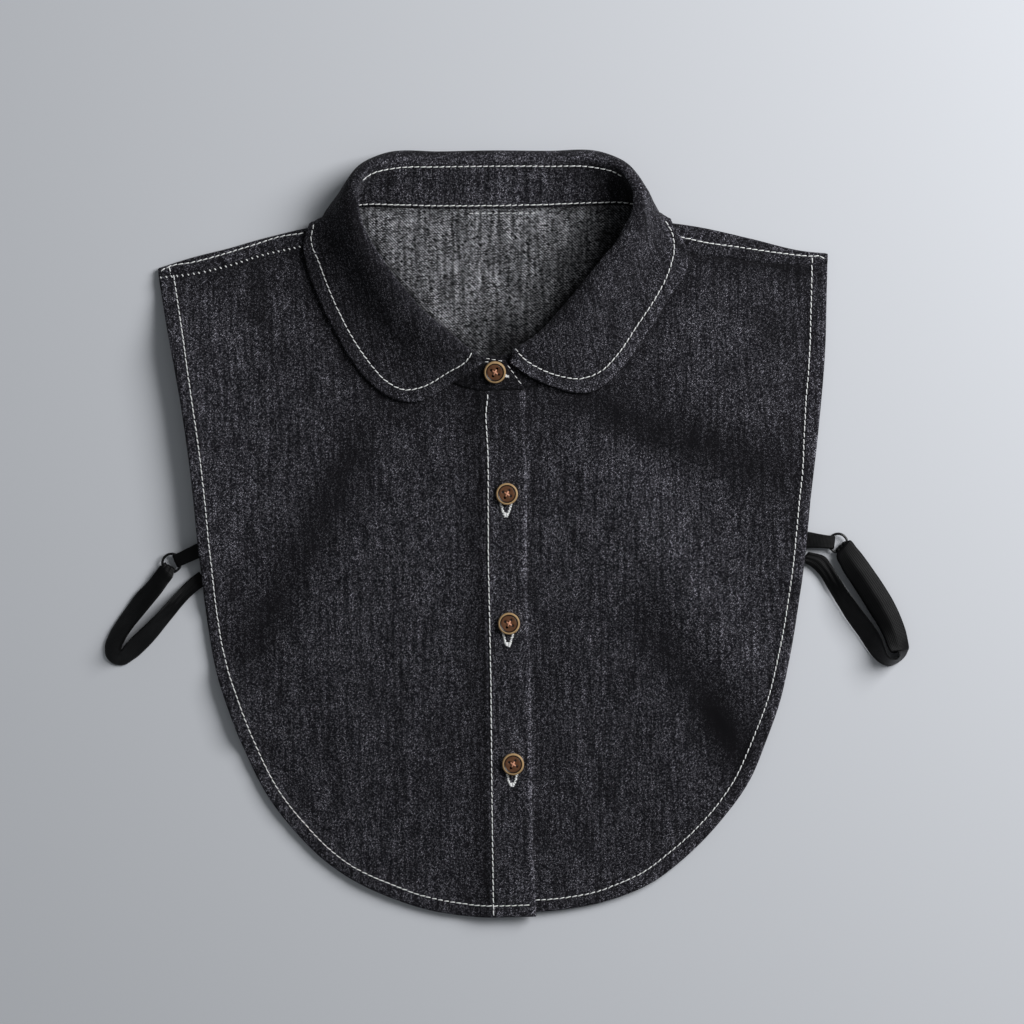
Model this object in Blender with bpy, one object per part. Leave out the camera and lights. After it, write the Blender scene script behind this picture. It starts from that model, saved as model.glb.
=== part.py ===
"""Detachable shirt collar (a false collar, or dickey) of dark denim, buttoned up and lying on its back.

The back panel lies flat with its underside at z = 0, the two fronts lie on it, and the collar rises round the
neck: its stand leans towards +Y and its leaf rolls over the stand, down on to the fronts, and round the shoulder
folds to lie under the back. An elastic strap leaves each side edge on a ring and comes back to the same edge.
+X is to the right and +Y towards the neck, seen from above, with +Z up. Sizes below are in millimetres, and each
mesh is scaled to metres as it is made.
"""

import math

import bpy
import numpy as np
from mathutils import Matrix, Vector
from mathutils.geometry import delaunay_2d_cdt

MM = 0.001

# Cloth thicknesses
DENIM = 1.1  # one layer of the panels
FOLDED = 1.9  # where a panel is turned back on itself: hem and placket
STAND = 1.8
LEAF = 1.6
TAPE = 0.7
ELASTIC = 0.9
SEAM_GAP = 0.35  # between pieces that are sewn together
LEAF_GAP = 0.4  # between the leaf and the front under it
FOLD_ROOM = 0.6  # more than that where the leaf turns round a shoulder fold

# Widths of the turnings, and the step in height where one ends
HEM = 6.3
PLACKET_LEFT = -5.8
PLACKET_RIGHT = 15.3
STEP = 0.9

# How high the layers lie
FRONT_LIFT = 1.9  # underside of a front above the underside of the back
OVERLAP = 2.3  # rise of the upper front over the lower one
TUCK = 2.6  # rise of the back, near the neck, over the leaf that lies under it
STRAP_LIFT = 2.1  # rise of a side edge over the strap and the tab
SOFT = 0.35  # rounding of the lowest folds
BACK_INSET = 2.5  # the back's side and lower edges lie this far inside those of the fronts
STAND_BULGE = 0.5  # the stand bows outward between its seams
NECK_STEP = 8.5  # spacing of the samples along the stand and the leaf's edge
LEAF_START = 0.6  # from the top of the stand to the leaf
LEAF_SAG = 0.25  # share of the leaf's fall that is left halfway to its edge

# Buttons, rings, strap
BUTTON_PROFILE = ((5.45, 0.9), (5.05, 1.5), (4.5, 1.5), (4.0, 1.0))  # radius, height above its middle
BUTTON_HOLE_RADIUS = 0.7
BUTTON_HOLE_PLACE = 1.5
BUTTON_TURN = 15.0  # degrees
RING_RADIUS = 4.6
WIRE_RADIUS = 0.65
RING_HEIGHT = 2.65
WIRE_GAP = 0.3  # between a ring's wire and the tape round it
BUTTON_BELOW = 0.9  # from the middle of a button down to its underside
BUTTON_SHANK = 0.5  # thread between the cloth and the button

# Outer edge of each front from the shoulder tip round to the placket corner: x, y
OVER_EDGE = (
    (-167.5, 144.2),
    (-165.2, 129.6),
    (-160.6, 103.6),
    (-156.5, 77.6),
    (-151.4, 32.7),
    (-148.9, 0.1),
    (-146.0, -29.8),
    (-142.1, -53.0),
    (-137.5, -68.5),
    (-130.7, -87.6),
    (-116.1, -118.0),
    (-104.6, -133.2),
    (-90.3, -148.0),
    (-75.3, -158.7),
    (-58.0, -167.1),
    (-39.8, -173.5),
    (-19.9, -177.2),
    (15.1, -177.9),
)
UNDER_EDGE = (
    (166.1, 144.3),
    (165.4, 127.3),
    (164.5, 105.9),
    (160.8, 67.1),
    (155.6, 27.2),
    (150.6, -12.6),
    (143.6, -52.5),
    (138.8, -72.4),
    (131.5, -92.3),
    (122.7, -112.2),
    (107.9, -132.1),
    (88.2, -151.4),
    (74.6, -161.4),
    (51.8, -170.6),
    (28.6, -174.9),
    (-5.9, -176.0),
)

# Centre edge of each front from the bottom to the neck: the upper one is the placket's folded edge
OVER_CENTRE = ((15.1, -177.9), (14.3, -152.3), (14.3, -58.6), (13.4, -4.7), (14.2, 41.7), (13.6, 70.7), (14.4, 84.3))
UNDER_CENTRE = ((-5.9, -176.2), (-5.9, 84.1))

# Shoulders from the tip to the neck. The fold is the outermost line, the seam joins the turned-over back to a front.
LEFT_FOLD = ((-168.0, 148.7), (-150.3, 153.9), (-132.7, 158.0), (-115.1, 162.7), (-90.1, 167.8), (-81.8, 169.2))
LEFT_SEAM = ((-167.5, 144.6), (-149.3, 146.5), (-132.2, 150.2), (-115.3, 155.2), (-97.2, 158.8), (-80.1, 162.5))
RIGHT_FOLD = ((166.5, 150.3), (155.6, 151.5), (127.7, 158.5), (105.4, 163.9), (88.5, 166.6), (82.4, 167.4))
RIGHT_SEAM = ((166.1, 144.6), (155.4, 144.8), (133.5, 146.4), (113.1, 149.2), (94.2, 152.1), (78.8, 155.1))

# The collar, by stations along the neck from the left front end, round the back, to the right front end.
# n: neckline, where the stand starts; t: top of the stand, where the leaf starts; reach and curl: how far the leaf
# goes on past the stand and the radius at which it turns; b: where the leaf comes down; e: the leaf's edge;
# laid: 1 where the leaf lies on a front.
#  nx ny nz, tx ty tz, reach, curl, bx by bz, ex ey ez, laid
COLLAR = (
    (-7.0, 84.7, 5.3, -9.2, 101.8, 8.6, 0.9, 1.35, -7.9, 100.1, 10.9, -6.5, 98.4, 10.5, 1),
    (-13.9, 85.9, 3.9, -14.4, 104.6, 8.6, 1.0, 1.40, -15.0, 98.5, 9.8, -15.4, 92.6, 8.3, 1),
    (-22.4, 89.1, 2.8, -20.6, 109.9, 9.2, 1.2, 1.50, -24.3, 95.6, 8.2, -26.9, 85.8, 4.4, 1),
    (-30.9, 94.5, 2.8, -28.3, 116.4, 10.2, 1.2, 1.50, -34.0, 96.2, 7.4, -38.4, 80.0, 4.4, 1),
    (-38.4, 100.5, 2.8, -34.8, 121.9, 11.4, 1.2, 1.50, -42.8, 99.3, 7.0, -49.3, 80.7, 4.4, 1),
    (-45.4, 107.4, 2.8, -41.1, 129.4, 12.6, 1.2, 1.50, -51.5, 106.1, 7.0, -60.0, 86.9, 4.4, 1),
    (-52.4, 115.0, 2.8, -47.5, 137.3, 14.0, 1.2, 1.50, -60.1, 116.1, 7.2, -70.3, 98.5, 4.4, 1),
    (-59.9, 124.8, 2.8, -53.9, 146.3, 15.5, 1.2, 1.50, -67.8, 128.8, 7.6, -79.1, 114.2, 4.4, 1),
    (-67.4, 137.3, 2.8, -59.7, 155.5, 17.5, 1.2, 1.50, -74.6, 141.6, 8.4, -86.7, 129.7, 4.4, 1),
    (-72.7, 147.8, 2.9, -63.7, 163.1, 19.0, 1.2, 1.50, -79.5, 154.8, 9.4, -93.1, 147.1, 4.6, 1),
    (-76.3, 156.6, 4.3, -66.1, 170.3, 20.3, 1.2, 1.50, -81.7, 165.6, 10.5, -94.6, 159.9, 6.6, 1),
    (-78.3, 163.0, 5.2, -66.7, 174.0, 20.8, 1.2, 1.50, -82.4, 170.0, 10.6, -93.1, 165.0, 7.2, 1),
    (-79.5, 168.0, 5.2, -67.0, 177.4, 21.2, 1.2, 1.45, -81.6, 173.4, 10.2, -90.9, 168.8, 4.2, 0),
    (-80.2, 171.4, 4.2, -67.1, 180.2, 21.5, 1.2, 1.40, -82.0, 176.3, 6.2, -88.7, 167.5, 0.9, 0),
    (-77.8, 174.5, 3.2, -67.2, 183.0, 21.3, 1.2, 1.40, -77.9, 181.2, 5.0, -84.5, 167.1, 0.8, 0),
    (-73.3, 176.9, 3.2, -65.3, 189.2, 19.8, 1.0, 1.40, -69.8, 189.4, 5.2, -76.5, 167.7, 0.8, 0),
    (-64.9, 178.0, 3.2, -60.5, 194.7, 16.6, 1.2, 2.00, -62.7, 195.6, 3.2, -66.5, 167.9, 0.8, 0),
    (-50.9, 177.2, 3.2, -49.5, 198.3, 13.0, 2.1, 4.60, -50.4, 197.2, 1.1, -50.0, 167.9, 0.8, 0),
    (-27.9, 176.1, 3.2, -26.8, 199.1, 10.8, 2.0, 4.70, -27.0, 196.4, 0.8, -27.0, 167.9, 0.8, 0),
    (1.0, 175.6, 3.2, 1.0, 199.1, 10.0, 2.4, 4.50, 1.0, 196.4, 0.8, 1.0, 167.9, 0.8, 0),
    (28.0, 175.8, 3.2, 27.9, 198.4, 10.8, 2.0, 4.70, 28.0, 195.9, 0.8, 28.0, 167.9, 0.8, 0),
    (50.9, 176.5, 3.2, 50.1, 197.1, 13.0, 2.0, 4.60, 51.0, 196.0, 1.1, 50.5, 167.5, 0.8, 0),
    (65.9, 176.7, 3.2, 61.5, 193.1, 16.6, 1.2, 2.00, 63.6, 193.9, 3.2, 67.0, 167.1, 0.8, 0),
    (73.9, 175.3, 3.2, 66.4, 187.6, 19.8, 1.0, 1.40, 70.3, 187.1, 5.2, 75.5, 166.7, 0.8, 0),
    (78.4, 172.7, 3.2, 68.9, 182.7, 21.3, 1.2, 1.40, 75.4, 180.6, 5.0, 81.5, 166.5, 0.8, 0),
    (80.4, 169.8, 4.2, 69.7, 180.1, 21.5, 1.2, 1.40, 80.0, 175.3, 6.2, 85.2, 166.8, 0.9, 0),
    (80.0, 166.5, 5.2, 69.8, 177.1, 21.2, 1.2, 1.45, 80.1, 172.1, 10.2, 87.4, 168.1, 4.2, 0),
    (79.0, 161.6, 5.2, 69.7, 173.8, 20.8, 1.2, 1.50, 80.2, 168.4, 10.6, 90.0, 164.1, 7.2, 1),
    (77.0, 156.1, 4.3, 68.9, 170.1, 20.3, 1.2, 1.50, 81.5, 162.5, 10.5, 94.1, 157.4, 6.6, 1),
    (73.4, 148.3, 2.9, 65.3, 163.2, 19.0, 1.2, 1.50, 80.1, 153.2, 9.4, 96.3, 144.7, 4.6, 1),
    (67.9, 138.3, 2.8, 60.2, 154.4, 17.2, 1.2, 1.50, 74.6, 140.4, 8.4, 86.1, 128.3, 4.4, 1),
    (60.4, 126.3, 2.8, 54.3, 147.6, 15.2, 1.2, 1.50, 66.7, 128.9, 7.6, 76.8, 113.4, 4.4, 1),
    (52.9, 116.6, 2.8, 47.9, 140.1, 13.6, 1.2, 1.50, 58.8, 118.2, 7.2, 67.3, 100.5, 4.4, 1),
    (45.9, 108.9, 2.8, 41.5, 132.3, 12.0, 1.2, 1.50, 50.4, 108.4, 7.0, 57.4, 89.6, 4.4, 1),
    (38.9, 101.4, 2.8, 35.5, 125.3, 10.6, 1.2, 1.50, 42.4, 102.3, 7.0, 48.4, 83.6, 4.4, 1),
    (31.5, 94.8, 2.8, 28.5, 117.4, 9.2, 1.2, 1.50, 34.1, 98.1, 7.0, 38.4, 83.0, 4.4, 1),
    (23.5, 89.3, 2.8, 21.0, 110.2, 8.0, 1.2, 1.50, 25.1, 95.9, 7.2, 27.9, 86.2, 4.4, 1),
    (15.5, 86.0, 2.9, 13.8, 105.6, 7.0, 1.0, 1.40, 15.2, 98.0, 8.2, 16.0, 91.7, 6.9, 1),
    (8.0, 84.7, 3.1, 8.4, 103.0, 6.9, 0.9, 1.35, 7.8, 100.9, 9.4, 6.9, 98.3, 9.0, 1),
)
# The stand goes on past the leaf at the centre front: nx, ny, nz, tx, ty, tz
STAND_OVER_END = ((14.2, 84.9, 5.4, 4.4, 99.4, 8.5), (4.0, 84.9, 5.4, -1.8, 101.2, 8.6))
STAND_UNDER_END = ((1.0, 84.7, 3.1, 3.0, 102.0, 6.3), (-6.0, 84.7, 3.1, -3.5, 101.5, 6.2))

# Soft folds of the fronts: ax, ay and bx, by at the two ends, bow sideways, half width, rise (up) or fall (down)
CREASES = (
    (-52.0, 74.0, -123.0, -46.0, -5.0, 13.0, -2.3),
    (-62.0, 82.0, -120.0, 48.0, 3.0, 13.0, 2.2),
    (-42.0, 72.0, -40.0, 46.0, 0.0, 6.0, -1.2),
    (-24.0, 78.0, -22.0, 54.0, 0.0, 5.0, -0.9),
    (-33.0, 66.0, -34.0, 0.0, 2.0, 9.0, 1.1),
    (-96.0, 22.0, -112.0, -52.0, 6.0, 14.0, 1.3),
    (-121.0, 140.0, -117.0, 117.0, 0.0, 5.0, -1.1),
    (-75.0, -82.0, -77.0, -152.0, 0.0, 6.0, 0.7),
    (-55.0, -84.0, -57.0, -156.0, 0.0, 5.0, -0.6),
    (50.0, 78.0, 146.0, 16.0, 6.0, 13.0, -2.4),
    (37.0, 62.0, 124.0, -70.0, 6.0, 14.0, 2.4),
    (68.0, -22.0, 118.0, -96.0, -3.0, 12.0, -1.7),
    (92.0, 74.0, 140.0, 70.0, 3.0, 13.0, 1.4),
    (140.0, 138.0, 143.0, 106.0, 0.0, 8.0, -1.3),
    (103.0, 140.0, 101.0, 106.0, 0.0, 9.0, 1.0),
    (65.0, -70.0, 62.0, -146.0, 0.0, 6.0, -0.7),
    (25.0, -12.0, 24.0, -136.0, 0.0, 6.0, -0.8),
    (92.0, -60.0, 76.0, -140.0, 3.0, 9.0, 0.9),
    (-163.0, 128.0, -149.0, 5.0, 0.0, 26.0, 8.5),  # the left side edge stands off the back
    (-140.0, -52.0, -129.0, -90.0, 0.0, 12.0, 3.0),
)

# Buttons on the centre front, top to bottom: x, y, height of the cloth under the button, lean towards the neck
BUTTONS = (
    (-0.6, 93.5, 8.3, 10.5),
    (4.3, 32.9, 6.5, 0.0),
    (4.2, -31.6, 6.5, 0.0),
    (5.0, -101.6, 6.5, 0.0),
)

# Rings, and the tabs that hold them: x, y, width and height of a tab's end, which is caught in the side hem
RINGS = {"left": (-163.7, 1.4), "right": (169.1, 5.6)}
TAB_WIDTH = 6.2  # on the ring
TAB_LAYERS = 1.25  # from the lower layer of a tab's end to the upper one
TABS = {"left": (-144.6, 9.7, 7.4, 6.0), "right": (148.9, 8.0, 8.8, 1.95)}

# Straps, from the ring out round the far end and back to the side edge: ox, oy on the outer edge and ix, iy on the
# inner edge, z between them, lean: 1 where the elastic stands on its outer edge as far as its width allows, ridge:
# how far a soft crease along its middle rises.
ELASTIC_WIDTH = 12.0
STRAP_RING_WIDTH = 6.4  # where it is gathered on the ring
STRAP_TAIL = 11.0  # from the ring's centre to the end that is folded back and sewn
STRAP_TAIL_HEIGHT = 1.1
STRAPS = {
    "left": (
        (-169.0, 0.2, -162.9, -5.0, 4.3, 0.15, 0.3),
        (-172.0, -3.3, -165.5, -8.8, 4.3, 0.3, 0.4),
        (-175.4, -7.5, -168.3, -12.8, 4.4, 0.5, 0.5),
        (-181.3, -13.4, -173.3, -18.9, 4.5, 0.8, 0.5),
        (-186.7, -20.5, -178.7, -25.3, 4.8, 0.95, 0.4),
        (-192.1, -28.0, -183.5, -31.1, 5.0, 1.0, 0.2),
        (-196.1, -34.7, -186.8, -36.0, 5.0, 1.0, 0.0),
        (-197.8, -39.9, -188.6, -39.9, 5.0, 1.0, 0.0),
        (-197.2, -44.8, -189.0, -41.1, 5.0, 1.0, 0.0),
        (-193.9, -48.3, -188.9, -41.4, 5.0, 1.0, 0.0),
        (-189.0, -49.1, -188.2, -40.8, 5.0, 1.0, 0.0),
        (-183.9, -46.4, -186.8, -39.0, 5.0, 1.0, 0.0),
        (-178.0, -41.7, -182.6, -34.5, 4.8, 1.0, 0.0),
        (-171.7, -35.1, -176.0, -28.7, 4.9, 0.95, 0.0),
        (-165.4, -27.5, -169.5, -22.3, 4.6, 0.75, 0.0),
        (-159.4, -20.5, -163.2, -15.3, 3.6, 0.4, 0.0),
        (-154.5, -15.3, -158.1, -9.9, 2.6, 0.1, 0.0),
        (-150.5, -12.1, -153.9, -6.1, 2.25, 0.0, 0.0),
        (-146.2, -9.0, -149.9, -3.2, 2.25, 0.0, 0.0),
    ),
    "right": (
        (174.4, 6.7, 168.2, -0.4, 4.3, 0.0, 0.4),
        (178.4, 2.7, 170.3, -6.2, 4.2, 0.0, 1.0),
        (186.6, -8.6, 175.8, -15.4, 4.0, 0.0, 1.6),
        (191.8, -16.6, 180.6, -23.2, 4.0, 0.0, 1.8),
        (196.3, -24.5, 184.8, -30.3, 4.1, 0.1, 1.8),
        (199.6, -32.0, 188.6, -36.7, 4.2, 0.3, 1.6),
        (202.1, -39.4, 191.1, -42.2, 4.6, 0.5, 1.2),
        (203.0, -44.0, 192.7, -46.6, 4.7, 0.5, 1.0),
        (203.5, -46.8, 194.4, -49.2, 4.8, 0.6, 0.7),
        (203.1, -49.0, 197.3, -49.0, 5.7, 1.0, 0.1),
        (201.9, -51.4, 197.6, -50.6, 6.0, 1.0, 0.0),
        (199.6, -53.6, 196.6, -52.0, 6.1, 1.0, 0.0),
        (196.9, -55.2, 195.2, -52.3, 6.1, 1.0, 0.0),
        (193.7, -56.2, 193.6, -52.0, 6.0, 1.0, 0.0),
        (190.0, -55.0, 192.0, -50.4, 5.9, 1.0, 0.0),
        (186.2, -51.8, 190.7, -46.9, 5.5, 1.0, 0.0),
        (182.7, -47.0, 188.8, -41.4, 5.0, 1.0, 0.0),
        (178.6, -40.6, 185.2, -35.4, 4.9, 0.95, 0.0),
        (173.4, -33.1, 179.7, -28.0, 4.9, 0.9, 0.0),
        (168.3, -24.6, 174.1, -20.1, 4.6, 0.7, 0.0),
        (163.6, -16.6, 169.5, -12.5, 3.6, 0.35, 0.2),
        (159.5, -9.7, 165.9, -6.1, 2.7, 0.1, 0.4),
        (155.2, -5.6, 162.5, -1.2, 2.3, 0.0, 0.4),
        (149.8, -3.3, 154.1, 1.4, 2.25, 0.0, 0.1),
    ),
}

# Colours (linear), roughness
DENIM_COLOUR = (0.018, 0.018, 0.023)
ELASTIC_COLOUR = (0.006, 0.006, 0.007)
RING_COLOUR = (0.008, 0.008, 0.009)
BUTTON_COLOUR = (0.13, 0.045, 0.016)


def ease(amount):
    """Smooth step from 0 to 1."""
    held = np.clip(amount, 0.0, 1.0)
    return held * held * (3.0 - 2.0 * held)


def hermite(knots, rows, at):
    """Values at the given places on a smooth curve that passes through the rows at the knots."""
    knots, rows, at = np.asarray(knots, float), np.asarray(rows, float), np.asarray(at, float)
    spans = np.diff(knots)[:, None]
    slopes = np.diff(rows, axis=0) / spans
    tangents = np.vstack([slopes[:1], (slopes[:-1] * spans[1:] + slopes[1:] * spans[:-1]) / (spans[:-1] + spans[1:]),
                          slopes[-1:]])
    first = np.clip(np.searchsorted(knots, at, side="right") - 1, 0, len(knots) - 2)
    span = spans[first]
    t = ((at - knots[first])[:, None]) / span
    start, end = rows[first], rows[first + 1]
    return (start * (2 * t**3 - 3 * t**2 + 1) + tangents[first] * span * (t**3 - 2 * t**2 + t)
            + end * (3 * t**2 - 2 * t**3) + tangents[first + 1] * span * (t**3 - t**2))


def lengths_along(points):
    """Distance along a polyline to each of its points."""
    steps = np.linalg.norm(np.diff(np.asarray(points, float), axis=0), axis=1)
    return np.concatenate([[0.0], np.cumsum(steps)])


def drawn(rows, step=None, count=None):
    """Points a step apart, or a count of points, spread evenly on a smooth curve through the rows."""
    rows = np.asarray(rows, float)
    fine = hermite(lengths_along(rows), rows, np.linspace(0.0, lengths_along(rows)[-1], 40 * len(rows)))
    along = lengths_along(fine)
    count = count or max(2, round(along[-1] / step) + 1)
    wanted = np.linspace(0.0, along[-1], count)
    return np.column_stack([np.interp(wanted, along, fine[:, axis]) for axis in range(fine.shape[1])])


def left_of(line):
    """Unit vectors to the left of a line in plan, one at each of its points."""
    along = np.gradient(line[:, :2], axis=0)
    return np.column_stack([-along[:, 1], along[:, 0]]) / np.linalg.norm(along, axis=1)[:, None]


def places_at(knots, lengths, step):
    """Every knot, and places between them at most a step apart by the given lengths."""
    places = [knots[0]]
    for start, end, length in zip(knots[:-1], knots[1:], lengths):
        places.extend(np.linspace(start, end, max(1, math.ceil(length / step)) + 1)[1:])
    return np.array(places)


def distance_to(line, x, y):
    """Shortest distance from each x, y to a polyline."""
    points = np.stack(np.broadcast_arrays(x, y), axis=-1).astype(float)
    nearest = np.full(points.shape[:-1], np.inf)
    for start, end in zip(line[:-1], line[1:]):
        side = end - start
        share = np.clip(((points - start) @ side) / (side @ side), 0.0, 1.0)
        nearest = np.minimum(nearest, np.linalg.norm(points - start - share[..., None] * side, axis=-1))
    return nearest


def folds(x, y):
    """Height of the soft folds at x, y."""
    height = 1.5 * np.exp(-((np.abs(x) - 78.0) / 48.0) ** 2 - ((y + 15.0) / 85.0) ** 2)
    for ax, ay, bx, by, bow, width, rise in CREASES:
        length = math.hypot(bx - ax, by - ay)
        ux, uy = (bx - ax) / length, (by - ay) / length
        along = ((x - ax) * ux + (y - ay) * uy) / length
        across = (y - ay) * ux - (x - ax) * uy - 4.0 * bow * along * (1.0 - along)
        ends = ease((along + 0.15) / 0.35) * ease((1.15 - along) / 0.35)
        height = height + rise * ends * np.exp(-((across / width) ** 2))
    return height


def tuck(x, y):
    """Rise of the back, near the neck, over the leaf that is folded under it."""
    return TUCK * ease((y - 146.0) / 20.0) * ease((114.0 - np.abs(x)) / 22.0)


def strap_rise(x, y):
    """Rise of a side edge where the strap and the tab come out from under it."""
    middle = np.where(x < 0, 0.0, 3.0)
    return STRAP_LIFT * ease((27.0 - np.abs(y - middle)) / 14.0) * ease((np.abs(x) - 124.0) / 18.0)


def lie(x, y):
    """Height of the underside of the fronts, leaving out the overlap."""
    soft_folds = SOFT * np.logaddexp(0.0, folds(x, y) / SOFT)
    return FRONT_LIFT + tuck(x, y) + strap_rise(x, y) + soft_folds


def overlap(x):
    """Rise of the upper front as it climbs on to the lower one."""
    return OVERLAP * ease((x + 21.0) / 14.0)


def triangulated(loop, lines, spacing, clear):
    """Triangles that fill a closed outline, with edges along the lines and evenly spread points between."""
    chains = [np.vstack([loop, loop[:1]])] + list(lines)
    points, edges = [], []
    for number, chain in enumerate(chains):
        base = len(points)
        kept = chain[:-1] if number == 0 else chain
        points.extend(kept)
        edges.extend((base + i, base + i + 1) for i in range(len(kept) - 1))
        if number == 0:
            edges.append((base + len(kept) - 1, base))
    low, high = loop.min(axis=0), loop.max(axis=0)
    row_height = spacing * math.sqrt(3.0) / 2.0
    rows = np.arange(low[1] + row_height / 2, high[1], row_height)
    grid = np.array([(x + (spacing / 2 if number % 2 else 0.0), y) for number, y in enumerate(rows)
                     for x in np.arange(low[0], high[0], spacing)]).reshape(-1, 2)
    inside = np.zeros(len(grid), bool)
    for start, end in zip(chains[0][:-1], chains[0][1:]):
        spans = (start[1] > grid[:, 1]) != (end[1] > grid[:, 1])
        rise = end[1] - start[1] if end[1] != start[1] else 1.0
        crossing = start[0] + (grid[:, 1] - start[1]) / rise * (end[0] - start[0])
        inside ^= spans & (grid[:, 0] < crossing)
    for chain in chains:
        inside &= distance_to(chain, grid[:, 0], grid[:, 1]) > clear
    points.extend(grid[inside])
    found = delaunay_2d_cdt([Vector(point) for point in points], edges, [], 1, 1e-4)
    return np.array([tuple(vert) for vert in found[0]]), [tuple(face) for face in found[2]]


def surface_normals(points, triangles):
    """Unit normal of a surface at each of its points."""
    corners = points[np.array(triangles)]
    faces = np.cross(corners[:, 1] - corners[:, 0], corners[:, 2] - corners[:, 0])
    normals = np.zeros_like(points)
    for corner in range(3):
        np.add.at(normals, np.array(triangles)[:, corner], faces)
    return normals / np.linalg.norm(normals, axis=1)[:, None]


def wall(name, points, triangles, above, below):
    """A closed wall on an open surface, with the given thicknesses on its two sides."""
    normals = surface_normals(points, triangles)
    count = len(points)
    shell = np.vstack([points + normals * np.reshape(above, (-1, 1)), points - normals * np.reshape(below, (-1, 1))])
    faces = list(triangles) + [(c + count, b + count, a + count) for a, b, c in triangles]
    sides = {(face[i], face[(i + 1) % 3]) for face in triangles for i in range(3)}
    for a, b in sorted(side for side in sides if side[::-1] not in sides):
        faces.append((b, a, a + count))
        faces.append((b, a + count, b + count))
    return solid(name, shell, faces)


def solid(name, points, faces):
    """A mesh object from points in millimetres."""
    mesh = bpy.data.meshes.new(name)
    mesh.from_pydata([tuple(point) for point in np.asarray(points) * MM], [], faces)
    mesh.update()
    made = bpy.data.objects.new(name, mesh)
    bpy.context.scene.collection.objects.link(made)
    return made


def woven_grid(points):
    """Points and triangles of a grid surface, rows by columns."""
    rows, columns = points.shape[:2]
    triangles = []
    for row in range(rows - 1):
        for column in range(columns - 1):
            a = row * columns + column
            b, c, d = a + columns, a + columns + 1, a + 1
            triangles += [(a, b, c), (a, c, d)]
    return points.reshape(-1, 3), triangles


def finish(made, colour, roughness, metallic=0.0):
    """Give an object its own material."""
    material = bpy.data.materials.new(made.name + "_finish")
    material.use_nodes = True
    shader = material.node_tree.nodes["Principled BSDF"]
    shader.inputs["Base Color"].default_value = (*colour, 1.0)
    shader.inputs["Roughness"].default_value = roughness
    shader.inputs["Metallic"].default_value = metallic
    made.data.materials.append(material)


def along_neck():
    """Samples along the neck, from the stand's upper end round the back to its lower end.

    Gives the neckline and the top of the stand, its rising direction, its outward side, which samples have leaf
    on them, and for those the leaf's own columns.
    """
    rows = np.array(STAND_OVER_END + tuple(row[:6] for row in COLLAR) + STAND_UNDER_END)
    leaf_rows = np.array(COLLAR)[:, 6:]
    with_leaf = slice(len(STAND_OVER_END), len(rows) - len(STAND_UNDER_END))
    knots = lengths_along(rows[:, 3:6])
    edge = rows[:, :2].copy()
    edge[with_leaf] = leaf_rows[:, 5:7]
    places = places_at(knots, np.maximum(np.diff(knots), np.linalg.norm(np.diff(edge, axis=0), axis=1)), NECK_STEP)
    samples = hermite(knots, rows, places)
    neck, top = samples[:, :3], samples[:, 3:]
    rising = (top - neck) / np.linalg.norm(top - neck, axis=1)[:, None]
    outward = np.cross(rising, np.gradient(top, places, axis=0))
    outward /= np.linalg.norm(outward, axis=1)[:, None]
    on_leaf = (places >= knots[with_leaf][0]) & (places <= knots[with_leaf][-1])
    return neck, top, rising, outward, on_leaf, hermite(knots[with_leaf], leaf_rows, places[on_leaf])


def necklines():
    """Edges along the stand and clear of it: the upper front's, the lower front's, and the back's."""
    neck, _, _, outward, _, _ = along_neck()
    room = SEAM_GAP + STAND / 2 * np.linalg.norm(outward[:, :2], axis=1)
    side = left_of(neck) * room[:, None]
    outer, inner = neck[:, :2] + side, neck[:, :2] - side
    middle = len(neck) // 2
    return outer[:middle], outer[middle:][::-1], inner


def front(name, edge_rows, seam_rows, centre_rows, stitched, neck):
    """One front: a height field inside its outline, thicker along its hem and its placket.

    stitched is x where the placket's inner edge is sewn down.
    """
    placket = drawn(centre_rows, count=18)
    corner = placket[-1]
    side = 1.0 if corner[0] > stitched else -1.0
    seam = drawn(seam_rows, step=12.0)[::-1] - (0.0, SEAM_GAP)
    edge = drawn(edge_rows, step=8.0)
    edge[0], edge[-1] = seam[-1], placket[0]
    neck = neck[(neck[:, 1] < seam[0][1] - 2.0) & (side * neck[:, 0] < side * corner[0] - 2.0)]
    loop = np.vstack([edge, placket[1:], neck, seam[:-1]])
    seam_side = (seam[-2] - seam[-1]) / np.linalg.norm(seam[-2] - seam[-1])
    lines = []
    for depth in (HEM, HEM + STEP):
        line = edge + left_of(edge) * depth * side
        line[0] = seam[-1] + seam_side * depth
        line[-1] = (corner[0] - side * 0.5, placket[0][1] + depth)
        lines.append(line)
    for x in (stitched, stitched - STEP * side):
        lines.append(np.array([(x, y) for y in np.linspace(placket[0][1] + 1.0, corner[1] - 1.5, 18)]))
    plan, triangles = triangulated(loop, lines, 13.0, 4.0)
    x, y = plan[:, 0], plan[:, 1]
    on_placket = ease((side * (x - stitched) + STEP) / STEP)
    turned = np.maximum(on_placket, ease((HEM + STEP - distance_to(edge, x, y)) / STEP))
    low = lie(x, y) + (overlap(x) if side > 0 else 0.0)
    made = wall(name, np.column_stack([x, y, low + DENIM / 2]), triangles,
                DENIM / 2 + (FOLDED - DENIM) * turned, DENIM / 2)
    finish(made, DENIM_COLOUR, 0.9)


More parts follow.
